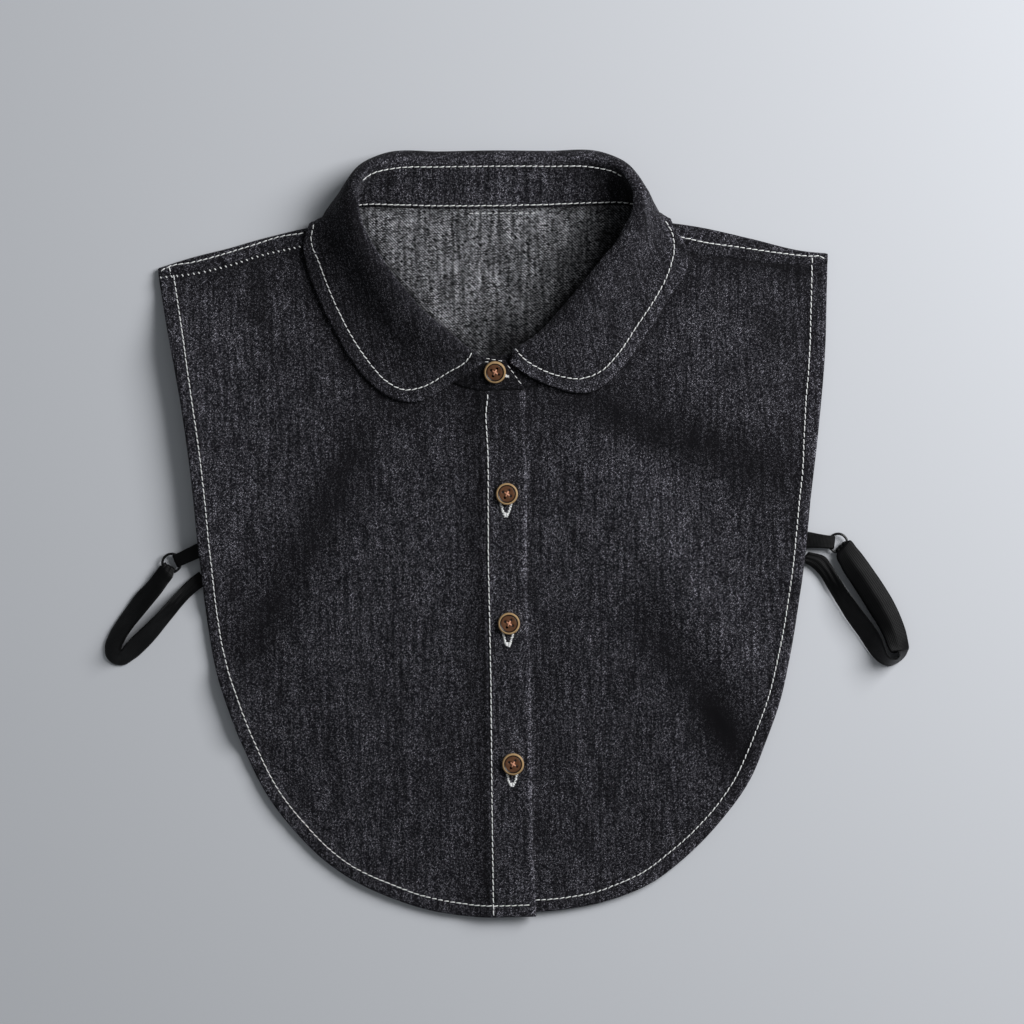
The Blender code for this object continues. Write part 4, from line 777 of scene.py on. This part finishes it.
# Painted shade: the stand is darkest towards its right side and paler towards the middle, and darker in its
# crumples, at its front ends round the top button and in its stitch grooves.
wear_and_shade = np.interp(x, (-62, -30, 10, 35, 62), (1.1, 1.5, 1.8, 1.2, 0.3)) * (1.0 - 0.9 * crumple)
wear_and_shade = wear_and_shade * (1.0 - 0.78 * ease((112.0 - y) / 10.0))
waves = 0.12 * uneven(x + y, z, 7.0, 8.5) * np.sin(np.pi * shares)
grid = grid + outward[:, None] * (crumple + waves)[..., None]
across = shares * np.linalg.norm(top - neck, axis=1)[:, None]
along = np.broadcast_to(lengths_along((neck + top) / 2)[:, None], across.shape)
lower, upper = LOWER_STITCH * STAND_COLUMNS, UPPER_STITCH * STAND_COLUMNS
columns_at = shares * STAND_COLUMNS
channel = np.maximum(bump(columns_at - upper, 0.7), bump(columns_at - lower, 0.6))
stand, face, normals = grid_cloth("collar_stand_cloth", grid, STAND / 2 - 0.3 * channel, STAND / 2,
                                  np.stack([along, across], axis=-1), wear_and_shade * (1.0 - 0.6 * channel),
                                  (RIGHT_SIDE,))
at_back = grid[:, int(upper), 1] > UPPER_ROW_FROM
stand_rows = [grid_line(face, normals, lower),
              tuple(part[at_back] for part in grid_line(face, normals, upper))]
STAND_FRONT_ROWS = (((-5.6, 100.6), (4, 98.8)), ((-6.2, 99), (4.6, 97.2)), ((5.5, 97.3), (13.3, 85.9)))
stand_sewing = sew("stand_stitches", stand_rows)
front_rows = [laid_on(stand, drawn(rows, step=1.0)) for rows in STAND_FRONT_ROWS]
front_sewing = sew("stand_front_stitches", front_rows, length=2.1, width=0.36, lift=0.2)
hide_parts("collar_stand")

# --- Collar leaf --------------------------------------------------------------------------------------------
# Two layers of the same denim, sewn right sides together, turned and topstitched. It rolls over the stand,
# lies on the fronts with its rounded points, and turns round the shoulders to lie under the back.
LEAF = 1.6
LEAF_GAP = 0.2
FOLD_ROOM = 0.8  # room round a shoulder fold
LEAF_SAG = 0.25  # share of the leaf's fall that is left halfway to its edge
NEAR_EDGE = np.array([0.0, 0.4, 1.2, 2.4, 3.8, 5.0, 5.6, 6.2, 6.8, 7.4, 8.6, 10.4])  # columns, from the edge
LEAF_STITCH = 6.2  # from the edge, where the leaf is turned under
LEAF_STITCH_LEFT = ((-10.9, 105), (-13.9, 100), (-24.5, 93.6), (-37.5, 86.7), (-45.6, 85.6), (-54.5, 89.8),
                    (-62.2, 98.3), (-71, 111.5), (-81, 132.5), (-87.2, 149.6), (-91, 161), (-88.9, 170))
LEAF_STITCH_RIGHT = ((9.6, 105.2), (12.9, 101), (24.3, 93.8), (31.8, 91.2), (40.7, 89.6), (51.2, 92.6),
                     (61.2, 102.1), (70.5, 115.5), (80.2, 129.5), (85.9, 140.1), (89.7, 155), (88.8, 161),
                     (85.4, 167.3))


def stand_top(points, neck, top):
    """Height of the stand's outer face below each point of a grid, whose rows go with those of the stand."""
    along = (top - neck)[:, None, :]
    flat = np.sum(along[..., :2] ** 2, axis=-1)
    share = np.sum((points[..., :2] - neck[:, None, :2]) * along[..., :2], axis=-1) / flat
    lean = np.linalg.norm(along, axis=-1) / np.sqrt(flat)
    face = neck[:, None, 2] + share * along[..., 2] + lean * (STAND / 2 + STAND_BULGE * np.sin(np.pi * share))
    return np.where((share > 0.0) & (share < 1.0), face, 0.0)


def clear_of_fold(points, fold_rows):
    """Move the leaf's points out of the space round a shoulder fold, away from the fold's axis."""
    fold = drawn(fold_rows, step=1.0)
    out = outward_of(fold)
    axis = fold - out * (FRONT_LIFT + DENIM) / 2
    middle = (tuck(*axis.T) + lie(*axis.T) + DENIM) / 2
    reach = FRONT_LIFT / 2 + DENIM / 2 + LEAF / 2 + FOLD_ROOM
    for point in points.reshape(-1, 3):
        nearest = int(np.argmin(np.linalg.norm(axis - point[:2], axis=1)))
        if np.linalg.norm(axis[nearest] - point[:2]) > 7.0:
            continue
        across = float((point[:2] - axis[nearest]) @ out[nearest])
        above = point[2] - middle[nearest]
        distance = math.hypot(across, above)
        if distance < reach:
            push = reach / max(distance, 0.2) - 1.0
            point[:2] += out[nearest] * across * push
            point[2] += above * push


def unrolled(grid):
    """Where the points of a curved grid lie on the flat cloth, row after row fanned out from the roll."""
    across = np.array([lengths_along(row) for row in grid])
    inner = np.linalg.norm(np.diff(grid[:, 0], axis=0), axis=1)
    outer = np.linalg.norm(np.diff(grid[:, -1], axis=0), axis=1)
    turn = np.concatenate([[0.0], np.cumsum((outer - inner) / across[1:, -1].clip(12.0))])
    heading = np.column_stack([np.sin(turn), -np.cos(turn)])
    forward = np.column_stack([np.cos(turn), np.sin(turn)])
    start = np.vstack([[0.0, 0.0], np.cumsum(forward[1:] * inner[:, None], axis=0)])
    return start[:, None] + heading[:, None] * across[..., None]


# Six knots across the leaf at each sample: the stand's top, two round the roll, where the leaf comes down,
# halfway from there, and its edge.
neck, top, rising, outward = (part[on_leaf] for part in (neck, top, rising, outward))
reach, curl, laid = columns[:, 0:1], columns[:, 1:2], columns[:, 8:9]
fall, edge = columns[:, 2:5], columns[:, 5:8]
between = (fall + edge) / 2
between[:, 2] = edge[:, 2] + LEAF_SAG * (fall[:, 2] - edge[:, 2])
shapes = np.stack([top + rising * 0.1, top + rising * (reach + 0.6) + outward * curl,
                   top + rising * 0.95 + outward * 2 * curl, fall, between, edge], axis=1)
fine = np.linspace(0.0, 5.0, 141)
grid = []
for shape in shapes:
    knots = lengths_along(shape)
    grid.append(hermite(knots, shape, np.interp(fine, np.arange(6), knots)))
grid = np.array(grid)

# The leaf is laid on what is below it, its columns are spread again, close together near the edge, and it is
# moved clear of the shoulder folds.
x, y, z = grid[..., 0], grid[..., 1], grid[..., 2]
below = lie(x, y) + np.where(x < 0, overlap(x), 0.0) + DENIM
lowest = np.maximum(below, stand_top(grid, neck, top)) + LEAF_GAP + LEAF / 2
raised = lowest + SOFT * np.logaddexp(0.0, (z - lowest) / SOFT)
grid[..., 2] += (raised - z) * ease((laid - 0.3) / 0.4) * ease((fine - 2.0) / 0.6)
even = []
for row in grid:
    along = lengths_along(row)
    from_edge = NEAR_EDGE * min(1.0, along[-1] / 22.0)
    from_edge = np.concatenate([from_edge, np.linspace(from_edge[-1], along[-1], 34)[1:]])
    even.append(at_places(along, row, (along[-1] - from_edge)[::-1]))
grid = np.array(even)
for fold_rows in (LEFT_FOLD, RIGHT_FOLD):
    clear_of_fold(grid, fold_rows)
grid[..., 2] = np.maximum(grid[..., 2], LEAF / 2)

# The stitches pull the leaf in, the band outside them puckers in slanting waves, and its edge and the crest
# of its roll are rubbed pale. Painted shade darkens the left leaf, most beside its roll, and the stitch
# grooves; painted light brightens the band outside the stitches on the right leaf.
x = grid[..., 0]
from_edge = np.array([lengths_along(row[::-1])[::-1] for row in grid])
from_stand = np.array([lengths_along(row) for row in grid])
rim_line = np.vstack([grid[0, 20:], grid[1:-1, -1], grid[-1, :19:-1]])
depth, along_rim = nearest_on(rim_line, grid)
depth = np.where(from_edge < 14.0, depth, from_edge)
sewn = [drawn(rows, step=2.0) for rows in (LEAF_STITCH_LEFT, LEAF_STITCH_RIGHT)]
from_row = np.minimum(*[nearest_on(line, grid[..., :2])[0] for line in sewn])
from_row = np.where(from_edge < 16.0, from_row, 9.0)
channel = np.where(laid > 0.5, bump(from_row, 0.6), bump(depth - LEAF_STITCH, 0.6))
in_band = ease((LEAF_STITCH - depth) / 1.5)
rope = uneven(along_rim + 0.7 * depth, 0.25 * depth, 4.6, 9.5)
above = LEAF / 2 - 0.3 * channel + 0.15 * in_band + 0.22 * rope * in_band
shade_beside_roll = np.where(x < 0, 1.0 - 0.5 * bump(from_stand - 6.5, 3.5), 1.0)
wear_and_shade = np.interp(x, (-80, -35, 20), (0.6, 0.8, 0.98)) * shade_beside_roll
wear_and_shade = wear_and_shade * (1.0 + 0.9 * bump(depth - 0.3, 1.2) * (0.6 + 0.5 * rope) - 0.7 * channel)
wear_and_shade = wear_and_shade + 0.9 * ease(2.6 - from_stand) + 0.45 * in_band * ease(x / 20.0)
leaf, face, normals = grid_cloth("collar_leaf_cloth", grid, above, LEAF / 2, unrolled(grid), wear_and_shade,
                                 (RIGHT_SIDE,))
turned_under = np.nonzero(laid[:, 0] < 0.5)[0][6:-6]
last = np.arange(grid.shape[1] - 20, grid.shape[1])
hidden_at = [np.interp(-LEAF_STITCH, -row[-20:], last) for row in depth[turned_under]]
leaf_rows = [laid_on(leaf, line) for line in sewn]
leaf_rows.append(grid_line(face[turned_under], normals[turned_under], np.array(hidden_at)))
leaf_sewing = sew("leaf_stitches", leaf_rows)
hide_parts("collar_leaf")

# --- Buttons and buttonholes --------------------------------------------------------------------------------
# Four-hole shirt buttons, turned from polyester with a horn look: a light rim, a dark groove inside it and a
# brown face. Each is sewn on with orange thread in a cross. The buttonholes are worked densely in white
# thread.
BUTTONS = ((-0.6, 93.5, 8.3, 10.5), (4.3, 32.9, 6.5, 0), (4.2, -31.6, 6.5, 0), (5, -101.6, 6.5, 0))
SHANK, BELOW = 0.5, 0.9  # thread under the button, and the button's middle above its underside
BUTTON_RADIUS, BUTTON_DEPTH, BUTTON_TURN = 5.45, 1.8, math.radians(15.0)
BUTTON_STEPS = ((0.12, 0.3), (0.28, 0.3), (0.25, 0.05), (0.35, -0.05), (0.15, -0.45), (0.35, -0.2),
                (0.2, 0.15))  # from the rim in: width and rise
RIM_FROM, GROOVE_FROM = 4.62, 3.95  # radii
HOLE_PLACE, HOLE_RADIUS = 1.5, 0.68
THREAD_PLACE, THREAD_RISE = 0.75 * HOLE_PLACE, 0.95  # of the sewing, from the button's middle
CLOUDS = 500.0  # to the metre: clouds of colour 2 mm wide


def glossy(name, code, other):
    """Cast polyester, turned and polished: glossy, with cloudy streaks between two colours."""
    material, tree = new_material(name)
    place = add(tree, "TexCoord").outputs["Object"]
    cloud = add(tree, "TexNoise", {"Vector": place, "Scale": CLOUDS, "Detail": 3.0}).outputs[0]
    colour = add(tree, "Mix", {0: cloud, 6: linear(code), 7: linear(other)}, data_type="RGBA").outputs[2]
    surface(tree, {"Base Color": colour, "Roughness": 0.32})
    return material


FACE = glossy("brown_horn_polyester", "#4a2d1c", "#7a5236")
GROOVE = glossy("dark_horn_polyester", "#140c08", "#22140e")
RIM = glossy("tan_horn_polyester", "#a08058", "#d0ae80")
BUTTON_THREAD, tree = new_material("orange_polyester_thread")
surface(tree, {"Base Color": linear("#e0a080"), "Roughness": 0.55})

bpy.ops.object.select_all(action="DESELECT")
bpy.ops.mesh.primitive_cylinder_add(vertices=64, radius=BUTTON_RADIUS * MM, depth=BUTTON_DEPTH * MM)
pattern = bpy.context.active_object
bpy.ops.object.mode_set(mode="EDIT")
bpy.ops.mesh.select_all(action="DESELECT")
shaped = bmesh.from_edit_mesh(pattern.data)
for part in shaped.faces:
    part.select = part.normal.z > 0.9
bmesh.update_edit_mesh(pattern.data)
for width, rise in BUTTON_STEPS:
    bpy.ops.mesh.inset(thickness=width * MM, use_even_offset=True)
    bpy.ops.transform.translate(value=(0.0, 0.0, rise * MM))
bpy.ops.object.mode_set(mode="OBJECT")
for x, y in ((-1, -1), (-1, 1), (1, 1), (1, -1)):
    bpy.ops.object.select_all(action="DESELECT")
    bpy.ops.mesh.primitive_cylinder_add(vertices=20, radius=HOLE_RADIUS * MM, depth=8 * MM,
                                        location=(x * HOLE_PLACE * MM, y * HOLE_PLACE * MM, 0.0))
    drill = bpy.context.active_object
    bpy.context.view_layer.objects.active = pattern
    cut = pattern.modifiers.new("hole", "BOOLEAN")
    cut.object = drill
    bpy.ops.object.modifier_apply(modifier="hole")
    bpy.data.objects.remove(drill, do_unlink=True)
soft_edges = pattern.modifiers.new("edges", "BEVEL")
soft_edges.width, soft_edges.segments, soft_edges.angle_limit = 0.07 * MM, 2, math.radians(35.0)
bpy.context.view_layer.objects.active = pattern
pattern.select_set(True)
bpy.ops.object.modifier_apply(modifier="edges")
bpy.ops.object.shade_smooth_by_angle(angle=math.radians(40.0))
for material in (FACE, GROOVE, RIM):
    pattern.data.materials.append(material)
for part in pattern.data.polygons:
    radius = part.center.xy.length / MM
    on_rim = radius > RIM_FROM and part.center.z > 0.0
    part.material_index = 2 if on_rim else 1 if radius > GROOVE_FROM else 0
pattern.data.transform(Matrix.Rotation(BUTTON_TURN, 4, "Z"))

for number, (x, y, on_cloth, lean) in enumerate(BUTTONS, 1):
    button = bpy.data.objects.new(f"shirt_button_{number}", pattern.data.copy())
    bpy.context.scene.collection.objects.link(button)
    place = Matrix.Translation((x * MM, y * MM, (on_cloth + SHANK + BELOW) * MM)) @ Matrix.Rotation(
        math.radians(lean), 4, "X")
    button.data.transform(place)
    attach(button, "root")
    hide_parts(f"button_{number}")
    turned = place @ Matrix.Rotation(BUTTON_TURN, 4, "Z")
    corners = [turned @ Vector((sx * THREAD_PLACE * MM, sy * THREAD_PLACE * MM, THREAD_RISE * MM))
               for sx, sy in ((-1, -1), (1, 1), (-1, 1), (1, -1))]
    corners = [np.array(corner) / MM for corner in corners]
    aside = 0.16 * unit(corners[1] - corners[3])
    starts = [corners[0] + aside, corners[0] - aside, corners[2] + aside, corners[2] - aside]
    ends = [corners[1] + aside, corners[1] - aside, corners[3] + aside, corners[3] - aside]
    threads(f"button_thread_{number}", starts, ends, [(0.0, 0.0, 1.0)] * 4, 0.62, 0.35, BUTTON_THREAD)
bpy.data.objects.remove(pattern, do_unlink=True)


def buttonhole(centre, heading, length, width):
    """Places in plan of the short stitches on a buttonhole's two sides, which run together at its ends."""
    heading = np.array(heading, float) / np.hypot(*heading)
    aside = np.array([-heading[1], heading[0]])
    starts, ends = [], []
    for along in np.arange(-length / 2 + 0.2, length / 2 - 0.1, 0.34):
        reach = width / 2 * (1.0 - 0.66 * (2.0 * abs(along) / length) ** 1.5) * chances.uniform(0.85, 1.1)
        inner = 0.0 if length / 2 - abs(along) < 2.0 else max(0.1, reach - 1.0)
        for side in (-1.0, 1.0):
            starts.append(centre + heading * along + aside * side * inner)
            ends.append(centre + heading * (along + chances.uniform(-0.5, 0.5)) + aside * side * reach)
    return np.array(starts), np.array(ends)


for number, (x, y, _, _) in enumerate(BUTTONS, 1):
    if number == 1:
        starts, ends = buttonhole(np.array([x + 1.0, y - 0.8]), (0.97, -0.24), 12.0, 2.6)
        piece = stand
    else:
        starts, ends = buttonhole(np.array([x - 0.5, y - 3.4]), (0.03, 1.0), 16.0, 6.4)
        piece = front_over
    (low, up), (high, _) = laid_on(piece, starts), laid_on(piece, ends)
    if len(low) == len(high):
        threads(f"buttonhole_{number}", low, high, up, 0.5, 0.25, THREAD)

# --- Rings, tabs and elastic straps -------------------------------------------------------------------------
# At each side a short tape holds a moulded black ring. A soft black elastic is looped through the ring,
# gathered there, runs out, turns back and is caught in the side hem: it passes round the wearer's waist or
# arm.
RING_RADIUS, WIRE_RADIUS, RING_HEIGHT, WIRE_GAP = 4.6, 0.65, 2.65, 0.1
TAPE, ELASTIC, ELASTIC_WIDTH = 0.7, 0.9, 12.0
RINGS = {"left": (-163.7, 1.4), "right": (169.1, 5.6)}
TAB_WIDTH, TAB_LAYERS = 6.2, 1.25
TABS = {"left": (-144.6, 9.7, 7.4, 6), "right": (148.9, 8, 8.8, 1.95)}
STRAP_RING_WIDTH, STRAP_TAIL, STRAP_TAIL_HEIGHT = 6.4, 11.0, 1.1
# Straps from the ring out, round the far end and back: ox, oy on the outer edge, ix, iy on the inner edge, z
# between them, lean: 1 where the elastic stands on its outer edge, ridge: how far a crease along its middle
# rises.
STRAPS = {
    "left": (
        (-169, 0.2, -162.9, -5, 4.3, 0.15, 0.3), (-172, -3.3, -165.5, -8.8, 4.3, 0.3, 0.4),
        (-175.4, -7.5, -168.3, -12.8, 4.4, 0.5, 0.5),
        (-181.3, -13.4, -173.3, -18.9, 4.5, 0.8, 0.5), (-186.7, -20.5, -178.7, -25.3, 4.8, 0.95, 0.4),
        (-192.1, -28, -183.5, -31.1, 5, 1, 0.2), (-196.1, -34.7, -186.8, -36, 5, 1, 0),
        (-197.8, -39.9, -188.6, -39.9, 5, 1, 0), (-197.2, -44.8, -189, -41.1, 5, 1, 0),
        (-193.9, -48.3, -188.9, -41.4, 5, 1, 0), (-189, -49.1, -188.2, -40.8, 5, 1, 0),
        (-183.9, -46.4, -186.8, -39, 5, 1, 0), (-178, -41.7, -182.6, -34.5, 4.8, 1, 0),
        (-171.7, -35.1, -176, -28.7, 4.9, 0.95, 0), (-165.4, -27.5, -169.5, -22.3, 4.6, 0.75, 0),
        (-159.4, -20.5, -163.2, -15.3, 3.6, 0.4, 0), (-154.5, -15.3, -158.1, -9.9, 2.6, 0.1, 0),
        (-150.5, -12.1, -153.9, -6.1, 2.25, 0, 0), (-146.2, -9, -149.9, -3.2, 2.25, 0, 0),
    ),
    "right": (
        (174.4, 6.7, 168.2, -0.4, 4.3, 0, 0.4), (178.4, 2.7, 170.3, -6.2, 4.2, 0, 1),
        (186.6, -8.6, 175.8, -15.4, 4, 0, 1.6), (191.8, -16.6, 180.6, -23.2, 4, 0, 1.8),
        (196.3, -24.5, 184.8, -30.3, 4.1, 0.1, 1.8), (199.6, -32, 188.6, -36.7, 4.2, 0.3, 1.6),
        (202.1, -39.4, 191.1, -42.2, 4.6, 0.5, 1.2), (203, -44, 192.7, -46.6, 4.7, 0.5, 1),
        (203.5, -46.8, 194.4, -49.2, 4.8, 0.6, 0.7), (203.1, -49, 197.3, -49, 5.7, 1, 0.1),
        (201.9, -51.4, 197.6, -50.6, 6, 1, 0), (199.6, -53.6, 196.6, -52, 6.1, 1, 0),
        (196.9, -55.2, 195.2, -52.3, 6.1, 1, 0), (193.7, -56.2, 193.6, -52, 6, 1, 0),
        (190, -55, 192, -50.4, 5.9, 1, 0), (186.2, -51.8, 190.7, -46.9, 5.5, 1, 0),
        (182.7, -47, 188.8, -41.4, 5, 1, 0), (178.6, -40.6, 185.2, -35.4, 4.9, 0.95, 0),
        (173.4, -33.1, 179.7, -28, 4.9, 0.9, 0), (168.3, -24.6, 174.1, -20.1, 4.6, 0.7, 0),
        (163.6, -16.6, 169.5, -12.5, 3.6, 0.35, 0.2), (159.5, -9.7, 165.9, -6.1, 2.7, 0.1, 0.4),
        (155.2, -5.6, 162.5, -1.2, 2.3, 0, 0.4), (149.8, -3.3, 154.1, 1.4, 2.25, 0, 0.1),
    ),
}

# Black knitted elastic and tape: matt yarn that hardly shines, in fine ribs along its length.
KNITTED, tree = new_material("black_knitted_elastic")
place = add(tree, "UVMap", uv_map="weave").outputs[0]
parts = add(tree, "SeparateXYZ", {0: place})
ribs = sums(tree, "PINGPONG", sums(tree, "DIVIDE", parts.outputs[0], 0.9), 0.5)
picks = sums(tree, "PINGPONG", sums(tree, "DIVIDE", parts.outputs[1], 0.7), 0.5)
uneven_yarn = add(tree, "TexNoise", {"Vector": place, "Scale": 0.5, "Detail": 4.0}, noise_dimensions="2D")
knit_colour = add(tree, "Mix", {0: uneven_yarn.outputs[0], 6: linear("#020203"), 7: linear("#09090a")},
                  data_type="RGBA").outputs[2]
knit_bump = add(tree, "Bump", {"Height": sums(tree, "ADD", ribs, picks), "Strength": 0.6,
                               "Distance": 0.2 * MM}).outputs[0]
surface(tree, {"Base Color": knit_colour, "Roughness": 0.5, "Normal": knit_bump, "Specular IOR Level": 0.16})

# Moulded nylon ring: smooth, glossy and black.
NYLON, tree = new_material("black_moulded_nylon")
surface(tree, {"Base Color": linear("#0c0c0e"), "Roughness": 0.22})


def tape_row(place, heading, width, z):
    """Two edges and the middle of a flat tape, at a place along it."""
    across = np.array([-heading[1], heading[0]]) * width / 2
    return [(*(place + across * share), z) for share in (1.0, 0.0, -1.0)]


def hairpin(centre, heading, width, thickness):
    """Rows of a tape that comes along under a ring's wire, turns round it and goes back above it."""
    radius = WIRE_RADIUS + WIRE_GAP + thickness / 2
    start = math.sqrt(RING_RADIUS**2 - (width / 2) ** 2) - 0.3
    return [tape_row(centre + heading * (start - radius * math.cos(angle)), heading, width,
                     RING_HEIGHT + radius * math.sin(angle)) for angle in np.radians(np.arange(-90, 91, 20))]


def strap_row(ox, oy, ix, iy, z, lean, ridge):
    """Outer edge, middle and inner edge of an elastic strap at a row of its table."""
    rise = lean * math.sqrt(max(ELASTIC_WIDTH**2 - (ox - ix) ** 2 - (oy - iy) ** 2, 0.0)) / 2
    return [(ox, oy, z - rise), ((ox + ix) / 2, (oy + iy) / 2, z + ridge), (ix, iy, z + rise)]


def ribbon(name, rows, thickness, gathers):
    """A tape through rows of three points across it, with fine pleats, gathers deep, where it is narrow."""
    rows = np.array(rows, float).reshape(-1, 9)
    knots = lengths_along(rows[:, [0, 1, 2, 6, 7, 8]])
    samples = hermite(knots, rows, np.arange(0.0, knots[-1], 0.8)).reshape(-1, 3, 3)
    t = np.linspace(-1.0, 1.0, 15)[None, :, None]
    outer, middle, inner = samples[:, 0:1], samples[:, 1:2], samples[:, 2:3]
    grid = outer * (1 - t) / 2 + inner * (1 + t) / 2 + (middle - (outer + inner) / 2) * (1 - np.abs(t) ** 1.2)
    along = lengths_along(samples[:, 1])
    across = np.array([lengths_along(row) for row in grid])
    weave = np.stack([across / across[:, -1:] * ELASTIC_WIDTH,
                      np.broadcast_to(along[:, None], across.shape)], axis=-1)
    narrow = ease((ELASTIC_WIDTH - 1.5 - across[:, -1:]) / 4.0)
    pleats = gathers * narrow * np.sin(weave[..., 0] / ELASTIC_WIDTH * math.tau * 3.0 + 0.6)
    wave = 0.1 * uneven(weave[..., 0], weave[..., 1], 5.0, 3.5)
    return grid_cloth(name, grid, thickness / 2 + pleats + wave, thickness / 2 - pleats - wave, weave, 1.0,
                      (KNITTED,))[0]


bpy.ops.object.select_all(action="DESELECT")
bpy.ops.mesh.primitive_torus_add(major_segments=72, minor_segments=18, major_radius=RING_RADIUS * MM,
                                 minor_radius=WIRE_RADIUS * MM)
pattern = bpy.context.active_object
bpy.ops.object.mode_set(mode="EDIT")
bpy.ops.mesh.select_all(action="SELECT")
bpy.ops.transform.resize(value=(1.0, 1.0, 0.94), center_override=(0.0, 0.0, 0.0))
bpy.ops.object.mode_set(mode="OBJECT")
bpy.ops.object.shade_smooth()
pattern.data.materials.append(NYLON)
for side in ("left", "right"):
    centre = np.array(RINGS[side])
    ring = bpy.data.objects.new(f"strap_ring_{side}", pattern.data.copy())
    bpy.context.scene.collection.objects.link(ring)
    ring.data.transform(Matrix.Translation((centre[0] * MM, centre[1] * MM, RING_HEIGHT * MM)))
    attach(ring, "root")
    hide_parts(f"ring_{side}")
    end, (width, height) = np.array(TABS[side][:2]), TABS[side][2:]
    heading = unit(end - centre)
    bend = hairpin(centre, heading, TAB_WIDTH, TAPE)
    tab = ribbon(f"tab_{side}_tape", [tape_row(end, heading, width, height), *bend,
                                      tape_row(end, heading, width, height + TAB_LAYERS)], TAPE, 0.0)
    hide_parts(f"tab_{side}")
    run = [strap_row(*row) for row in STRAPS[side]]
    heading = unit(np.array(run[0][1][:2]) - centre)
    bend = hairpin(centre, heading, STRAP_RING_WIDTH, ELASTIC)
    tail = tape_row(centre + heading * STRAP_TAIL, heading, STRAP_RING_WIDTH, STRAP_TAIL_HEIGHT)
    if side == "left":
        tail, bend = tail[::-1], [row[::-1] for row in bend]
    strap = ribbon(f"strap_{side}_elastic", [tail, *bend, *run], ELASTIC, 0.16)
    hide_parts(f"strap_{side}")
bpy.data.objects.remove(pattern, do_unlink=True)

# --- Floor, light and camera --------------------------------------------------------------------------------
# A pale blue-grey painted board, lit by one large soft light from the upper right and the light of the room.
# The camera looks straight down from a height of 1.6 m.
BOARD, tree = new_material("matt_painted_board")
surface(tree, {"Base Color": linear("#dfe1e6"), "Roughness": 0.9, "Specular IOR Level": 0.2})
bpy.ops.object.select_all(action="DESELECT")
bpy.ops.mesh.primitive_plane_add(size=3.0, location=(0.0, 0.0, -0.00005))
floor = bpy.context.active_object
floor.name = "floor"
floor.data.materials.append(BOARD)

lamp = bpy.data.lights.new("window", "AREA")
lamp.shape, lamp.size, lamp.size_y, lamp.energy = "RECTANGLE", 0.85, 0.85, 21.5
lamp.color = (0.985, 0.992, 1.0)
window = bpy.data.objects.new("window", lamp)
window.location = (1.02, 0.58, 0.90)
window.rotation_euler = (Vector((0.0, 0.02, 0.0)) - window.location).to_track_quat("-Z", "Y").to_euler()
bpy.context.scene.collection.objects.link(window)

world = bpy.data.worlds.new("room")
bpy.context.scene.world = world
world.use_nodes = True
world.node_tree.nodes["Background"].inputs[0].default_value = (0.92, 0.97, 1.0, 1.0)
world.node_tree.nodes["Background"].inputs[1].default_value = 0.15
bpy.context.scene.view_settings.view_transform = "Standard"

eye = bpy.data.cameras.new("eye")
eye.lens, eye.sensor_width, eye.clip_start, eye.clip_end = 112.5, 36.0, 0.05, 20.0
camera = bpy.data.objects.new("eye", eye)
camera.location = (0.00667, 0.0239, 1.6)
camera.rotation_euler = (0.0, 0.0, math.radians(-1.0))
bpy.context.scene.collection.objects.link(camera)
bpy.context.scene.camera = camera
